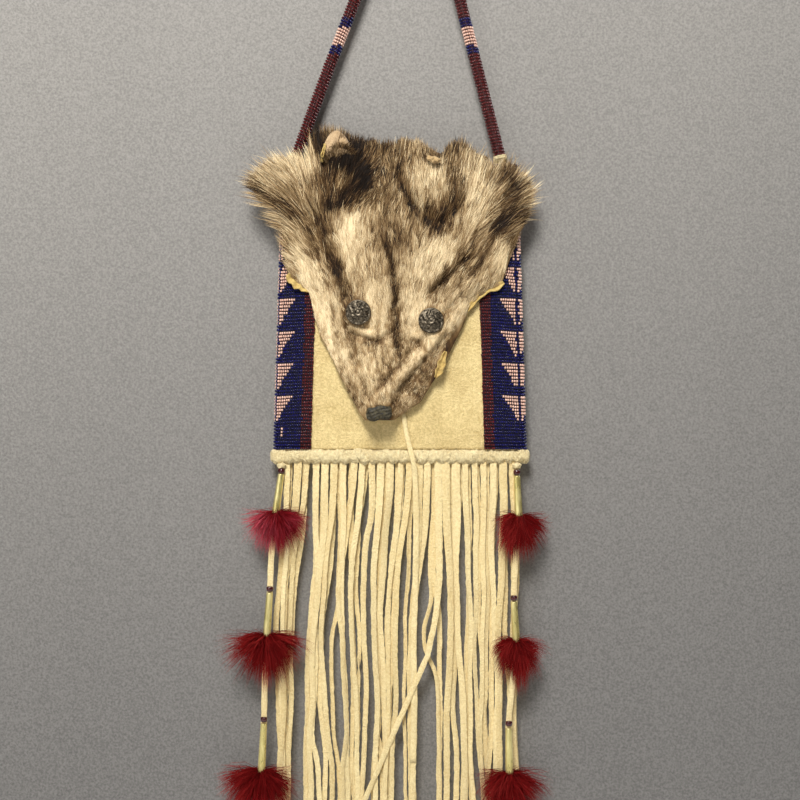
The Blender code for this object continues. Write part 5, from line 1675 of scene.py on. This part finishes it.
def grow_hair(name, tufts, hairs, area, seed, spread, width, rise, clump, contrast=1.0):
    """Tufts over a part of the head. Area is (left, right, top, bottom)."""
    rng = np.random.default_rng(seed)
    x = rng.uniform(area[0], area[1], tufts * 4)
    down = rng.uniform(area[2], area[3], tufts * 4)
    left, right = skin_outline(np.maximum(down, 0))
    kept = (x > left) & (x < right)
    tuft_x, tuft_down = x[kept][:tufts], down[kept][:tufts]
    tufts = len(tuft_x)
    owner = np.repeat(np.arange(tufts), hairs)
    count = len(owner)
    tuft_tone = rng.normal(0, 0.11, tufts)
    tuft_turn = rng.normal(0, 0.17, tufts)
    tuft_size = rng.uniform(0.78, 1.12, tufts)
    x = tuft_x[owner] + rng.normal(0, spread, count)
    down = tuft_down[owner] + rng.normal(0, spread, count)

    def lay(x, down, turned):
        flow = flow_at(x, down)
        flow = np.stack([flow[:, 0] * np.cos(turned) - flow[:, 1] * np.sin(turned),
                         flow[:, 0] * np.sin(turned) + flow[:, 1] * np.cos(turned)], axis=1)
        step = 0.0015
        root = coat(x, down, UNDERCOAT)
        ahead = coat(x + flow[:, 0] * step, down + flow[:, 1] * step, UNDERCOAT)
        tangent = unit(ahead - root)
        normal = unit(np.cross(coat(x + step, down, UNDERCOAT) - root,
                               coat(x, down + step, UNDERCOAT) - root))
        outward = np.where(normal[:, 1] > 0, -1, 1) * np.where(down < -HOOK_RUN / 2, -1, 1)
        normal *= outward[:, None]
        return flow, root, tangent, normal

    flow, root, tangent, normal = lay(x, down, tuft_turn[owner] + rng.normal(0, 0.09, count))
    _, heart, heart_way, heart_normal = lay(tuft_x, tuft_down, tuft_turn)
    length = hair_length(x, down) * tuft_size[owner] * rng.uniform(0.60, 1.10, count)
    up_share = rng.uniform(0.35, 0.95, count) * smoothstep(0.004, -0.010, down) * (down > BEHIND)
    length = np.where(down < BEHIND, 0.0040, length)
    for place in (LEFT_EYE, RIGHT_EYE):
        ahead_of = (np.abs(x - place[0]) < 0.0112) & (down > place[1]) & (down < place[1] + 0.026)
        room = np.hypot(x - place[0], down - place[1]) - 0.0100
        length = np.where(ahead_of, np.minimum(length, np.maximum(room, 0.0014)), length)
    lifted = rng.uniform(rise[0], rise[1], count)
    heart_lift = np.full(tufts, sum(rise) / 2)

    def straight(way, out, angle, share):
        way = unit(way * np.cos(angle)[:, None] + out * np.sin(angle)[:, None])
        return unit(way * (1 - share)[:, None] + np.array((0, -0.10, 1.0)) * share[:, None])

    direction = straight(tangent, normal, lifted, up_share)
    heart_up = 0.82 * smoothstep(0.004, -0.010, tuft_down) * (tuft_down > BEHIND)
    heart_direction = straight(heart_way, heart_normal, heart_lift, heart_up)[owner]
    bend = rng.normal(0, 0.07, count)[:, None] * unit(np.cross(direction, normal))
    bend = bend - normal * (np.sin(lifted) * 0.55 * (1 - up_share))[:, None]

    def strand_at(t, size):
        own = root + direction * (size * t)[:, None] + bend * (size * t * t)[:, None]
        axis = heart[owner] + heart_direction * (size * t)[:, None]
        axis = axis - heart_normal[owner] * (np.sin(sum(rise) / 2) * 0.55 * size * t * t)[:, None]
        return own + (axis - own) * clump * t ** 1.5

    reach = np.zeros(count)
    for t in (0.0, 0.2, 0.4, 0.6, 0.8, 1.0):
        inside = inside_outline(picture_place(strand_at(t, length)))
        reach = np.where(inside, np.maximum(reach, t + 0.001), reach)
    stray = rng.random(count)
    allowed = np.minimum(reach + rng.uniform(0, 0.22, count), 1.0)
    beyond = reach + rng.uniform(0.15, 0.60, count)
    allowed = np.where((stray < 0.15) & (reach > 0.40), np.minimum(beyond, 1.12), allowed)
    high = (down < 0.004) & (stray < 0.26) & (reach > 0.15)
    allowed = np.where(high, reach + rng.uniform(0, 0.75, count), allowed)
    behind = down < BEHIND
    allowed = np.where(behind, 1.0, allowed)
    kept = (behind | (reach > 0)) & (length * allowed > 0.0010)
    for place in (LEFT_EYE, RIGHT_EYE):
        kept &= np.hypot(x - place[0], down - place[1]) > 0.0104
    kept &= (np.abs(x - NOSE_AT[0]) > 0.0105) | (np.abs(down - NOSE_AT[1]) > 0.0056)
    cx, cd = face_place(432, 163)
    kept &= np.hypot((x - cx) / 2.2, down - cd) > 0.0021
    size = length * allowed
    spine = np.stack([strand_at(t, size) for t in (0.0, 0.36, 0.72, 1.0)], axis=1)
    kept &= spine[:, :, 1].max(axis=1) < 0.0120
    roll = rng.normal(0, 0.5, count)
    sideways = unit(np.cross(direction, normal))
    facing = normal * np.cos(roll)[:, None] + sideways * np.sin(roll)[:, None]
    across = unit(np.cross(direction, facing))
    half = rng.uniform(width[0], width[1], count)
    seen_x = tuft_x[owner] * 0.6 + x * 0.4 + flow[:, 0] * length * 0.35
    seen_down = tuft_down[owner] * 0.6 + down * 0.4 + flow[:, 1] * length * 0.35
    # Tone: the fur's markings, with the patches' painted shade and highlight.
    tone = tone_at(seen_x, seen_down) + tuft_tone[owner] + rng.normal(0, 0.095, count) * contrast
    # Painted shade in the creases and painted highlight on the folds.
    tone = tone + painted_crease_shade(seen_x, np.maximum(seen_down, 0))
    kind = rng.random(count)
    guard = (kind < 0.16) * contrast
    pale = (kind > 0.86) * contrast
    upper = 1 - smoothstep(0.020, 0.075, down)
    tip = guard * (0.12 + 0.34 * upper) - pale * 0.22
    crown = 0.08 * smoothstep(0.012, -0.004, down) * (rng.random(count) < 0.6)
    tones = np.stack([tone + 0.13, tone + 0.02 + tip * 0.3, tone - 0.02 + tip * 0.8 + crown,
                      tone + tip + crown * 1.5], axis=1)
    return ribbons(name, spine[kept], (across * half[:, None])[kept], np.clip(tones, 0, 0.98)[kept],
                   fur_finish, "flap")


fur_pieces = [
    grow_hair("fur_crown", 1500, 22, (-0.125, 0.108, -0.030, 0.042), 81, 0.0015, (0.00014, 0.00027),
              (0.08, 0.36), 0.55),
    grow_hair("fur_brow", 1500, 20, (-0.110, 0.102, 0.036, 0.108), 82, 0.0014, (0.00013, 0.00025),
              (0.06, 0.30), 0.50),
    grow_hair("fur_muzzle", 3000, 12, (-0.090, 0.085, 0.100, FLAP_DROP), 83, 0.0011,
              (0.00009, 0.00016), (0.04, 0.18), 0.22, contrast=1.15),
    grow_hair("fur_top", 620, 18, (-0.072, 0.072, -0.0215, -0.001), 84, 0.0014, (0.00012, 0.00022),
              (0.20, 0.60), 0.35)]
print("hair:", sum(len(piece.data.polygons) for piece in fur_pieces) // 5, "strands")

# %% [markdown]
# ## Ears, buttons and nose
# The left ear stands up and its tip folds forward, so that its tan inside shows. Of the right ear
# only a nub shows. The eyes are domed metal buttons, and the nose is a patch of wrinkled skin.

# %% The left ear
ear_finish = buckskin("ear_leather", (0.60, 0.430, 0.245), (0.29, 0.175, 0.080), nap=0.0004)


def ear_point(u, v):
    """A point of the ear's folded tip: a leaf that bulges forward. U and v run from -1 to 1."""
    a, b = u * np.sqrt(1 - v * v / 2), v * np.sqrt(1 - u * u / 2)
    cx, cz = seen_at(337.5, 153.5)
    pointed = 1 - 0.16 * np.clip(b + 0.2, 0, 1) ** 1.3
    x = cx + 0.0122 * a * pointed - 0.0012 * b + 0.0010
    z = cz + 0.0158 * b - 0.0030 * a * a
    y = -0.0178 - 0.0042 * np.sqrt(np.clip(1 - 0.9 * (a * a + b * b), 0, 1)) + 0.0044 * b
    y = y - 0.0034 * np.clip(-a, 0, 1) ** 2 + 0.0150 * np.clip(0.05 - b, 0, 1.05)
    fold = 0.0007 * np.sin(5 * a + 2 * b) + 0.0009 * np.sin(4 * b - 7 * a + 1)
    return np.stack([x, y + fold, z], axis=-1)


ear = keep("ear_left_tip", bent_grid(26, 26, lambda u, v: ear_point(2 * u - 1, 2 * v - 1)),
           ear_finish, "flap")
thicken(ear, 0.0012, 0.0)


def ear_hair(name, count, seed):
    """Dark hair over the ear, below the line where its leather is bare."""
    rng = np.random.default_rng(seed)
    u, v = rng.uniform(-0.98, 0.98, count * 3), rng.uniform(-1, 0.98, count * 3)
    bare = np.interp(u, (-1, -0.5, 0, 0.5, 1), (-0.43, 0.02, 0.36, 0.36, 0.10))
    covered = v < bare + rng.normal(0, 0.08, count * 3)
    u, v = u[covered][:count], v[covered][:count]
    count = len(u)
    root = ear_point(u, v)
    up = unit(ear_point(u, v + 0.02) - root)
    right = unit(ear_point(u + 0.02, v) - root)
    normal = unit(np.cross(up, right))
    normal *= np.where(normal[:, 1] > 0, -1, 1)[:, None]
    lean = 0.25 + 0.45 * u + rng.normal(0, 0.26, count)
    direction = unit(up + right * lean[:, None] + normal * rng.uniform(0.05, 0.40, count)[:, None])
    length = rng.uniform(0.0030, 0.0070, count)
    length = length * np.where(v > bare[covered][:count] - 0.25, 0.5, 1.2)
    spine = np.stack([root + direction * (length * t)[:, None]
                      - normal * (length * 0.2 * t * t)[:, None]
                      for t in (0.0, 0.36, 0.72, 1.0)], axis=1)
    across = unit(np.cross(direction, normal)) * rng.uniform(0.00013, 0.00024, count)[:, None]
    tone = 0.68 + rng.normal(0, 0.15, count) + 0.12 * u - 0.14 * v
    tones = np.stack([tone + 0.1, tone, tone - 0.04, tone - 0.08], axis=1)
    return ribbons(name, spine, across, np.clip(tones, 0, 0.97), fur_finish, "flap")


tell(ear, ear_hair("ear_left_hair", 3600, 91))


# %% [markdown]
# The nub of the right ear is a pebble of bare skin, so a ball with a few soft lumps is enough.

# %% The right ear's nub
nub_finish = buckskin("nub_leather", (0.62, 0.430, 0.215), (0.34, 0.215, 0.085), nap=0.0004)


def build_nub():
    x, z = seen_at(432.5, 164.5)
    bm = bmesh.new()
    bmesh.ops.create_icosphere(bm, subdivisions=4, radius=1.0)
    head = float(coat(x - CENTRE_X, HINGE_Z - z, 1.0)[1])
    for vert in bm.verts:
        a, b, c = vert.co
        lump = 1 + 0.20 * math.sin(6 * a + 2) * math.sin(5 * c) + 0.14 * math.sin(9 * a - 4 * b)
        vert.co = Vector((x + a * 0.0056 * lump, head - 0.0014 + b * 0.0030 * lump,
                          z + c * 0.0027 * lump - 0.0012 * a))
    return keep("ear_right_nub", bm, nub_finish, "flap")


tell(build_nub())

# %% [markdown]
# The eyes are domed buttons of dark cast metal. Rings of points follow the dome's profile, and
# waves in their height raise the leaves, so that the relief is real and not only a bump map.

# %% The button eyes
pewter_finish = Finish("dark_pewter", metallic=0.8)
pewter_wear = pewter_finish.spread(pewter_finish.noise(700.0, 4.0, 0.6), 0.35, 0.68)
pewter_finish.tint(pewter_wear, (0.022, 0.016, 0.010), (0.215, 0.175, 0.120))
pewter_finish.set("Roughness", 0.30 + pewter_wear * 0.22)
pewter_finish.relief(pewter_finish.noise(1500.0, 3.0, 0.6), 0.00012, 0.7)
BUTTON_RADIUS = 0.0105
BUTTON_HEIGHT = 0.0062


def build_button(name, node, place, seed):
    """A domed button: a rolled rim, a ring of leaves and a raised middle."""
    centre = Vector((CENTRE_X + place[0], -float(flap_inner(*place) + flap_pad(*place)) - CLEAR,
                     HINGE_Z - place[1]))
    profile = [(0.90, 0.0), (0.98, 0.10), (1.0, 0.22), (0.985, 0.34), (0.95, 0.42), (0.90, 0.43),
               (0.86, 0.40)]
    profile += [(0.86 * (1 - k / 18), 0.40 + 0.60 * math.sin(math.pi / 2 * k / 18))
                for k in range(1, 18)]
    rings = []
    for reach, rise in profile:
        ring = []
        for j in range(90):
            angle = 2 * math.pi * j / 90
            leaf = 0.0
            if reach < 0.86:
                swirl = angle + 1.3 * reach + seed
                leaf = 0.085 * math.cos(8 * swirl) * smoothstep(0.25, 0.45, reach)
                leaf += 0.070 * math.cos(math.pi * 7 * reach) * (1 - smoothstep(0.3, 0.7, reach))
                leaf += 0.055 * math.sin(15 * angle + 9 * reach) * smoothstep(0.5, 0.8, reach)
            x, z = math.cos(angle) * reach * BUTTON_RADIUS, math.sin(angle) * reach * BUTTON_RADIUS
            ring.append(centre + Vector((x, -(float(rise) + float(leaf)) * BUTTON_HEIGHT, z)))
        rings.append(ring)
    button = keep(name, rings_to_bm(rings), pewter_finish, "flap")
    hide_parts(node)
    return button


tell(build_button("eye_left", "button_left", LEFT_EYE, 1),
     build_button("eye_right", "button_right", RIGHT_EYE, 2))

# %% [markdown]
# The nose is a thick lozenge of wrinkled skin: a cube with a fine grid on its faces, whose corners
# are eased and whose front is wrinkled.

# %% The nose
nose_finish = Finish("nose_skin", specular_ior_level=0.3)
nose_tone = nose_finish.spread(nose_finish.noise(520.0, 4.0, 0.65), 0.34, 0.68)
nose_finish.tint(nose_tone, (0.009, 0.007, 0.0035), (0.078, 0.064, 0.033))
nose_finish.set("Roughness", 0.42 + nose_tone * 0.25)
nose_finish.relief(nose_finish.noise(900.0, 4.0, 0.6), 0.0004, 0.9)


def build_nose():
    """A thick lozenge of wrinkled skin."""
    centre_y = -float(flap_inner(*NOSE_AT) + flap_pad(*NOSE_AT)) - CLEAR
    bm = bmesh.new()
    bmesh.ops.create_cube(bm, size=2.0)
    bmesh.ops.subdivide_edges(bm, edges=bm.edges, cuts=15, use_grid_fill=True)
    for vert in bm.verts:
        u, t, v = vert.co
        corner = 1 - 0.16 * abs(v) ** 3
        side = 1 - 0.12 * abs(u) ** 3
        thick = (1 - 0.35 * abs(u) ** 4) * (1 - 0.35 * abs(v) ** 4)
        x = u * 0.0106 * corner
        z = v * 0.0059 * side + x * 0.10 + 0.0006 * math.sin(5 * u + 1)
        wrinkle = 0.00035 * math.sin(9 * u + 3 * v) + 0.0003 * math.sin(13 * v - 5 * u)
        depth = centre_y - (t * -0.5 + 0.5) * (0.0040 * thick + wrinkle)
        vert.co = Vector((CENTRE_X + NOSE_AT[0] + x, depth, HINGE_Z - NOSE_AT[1] + z))
    nose = keep("nose", bm, nose_finish, "flap")
    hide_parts("nose_patch")
    return nose


tell(build_nose())

# %% [markdown]
# ## Finish
# The visual model's box is printed beside the CAD box, so that the two can be compared.

# %% Print the sizes and finish
VISUAL_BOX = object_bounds()
for label, box in (("CAD", CAD_BOX), ("visual", VISUAL_BOX)):
    print(label, "box", [[round(float(v), 4) for v in corner] for corner in box])
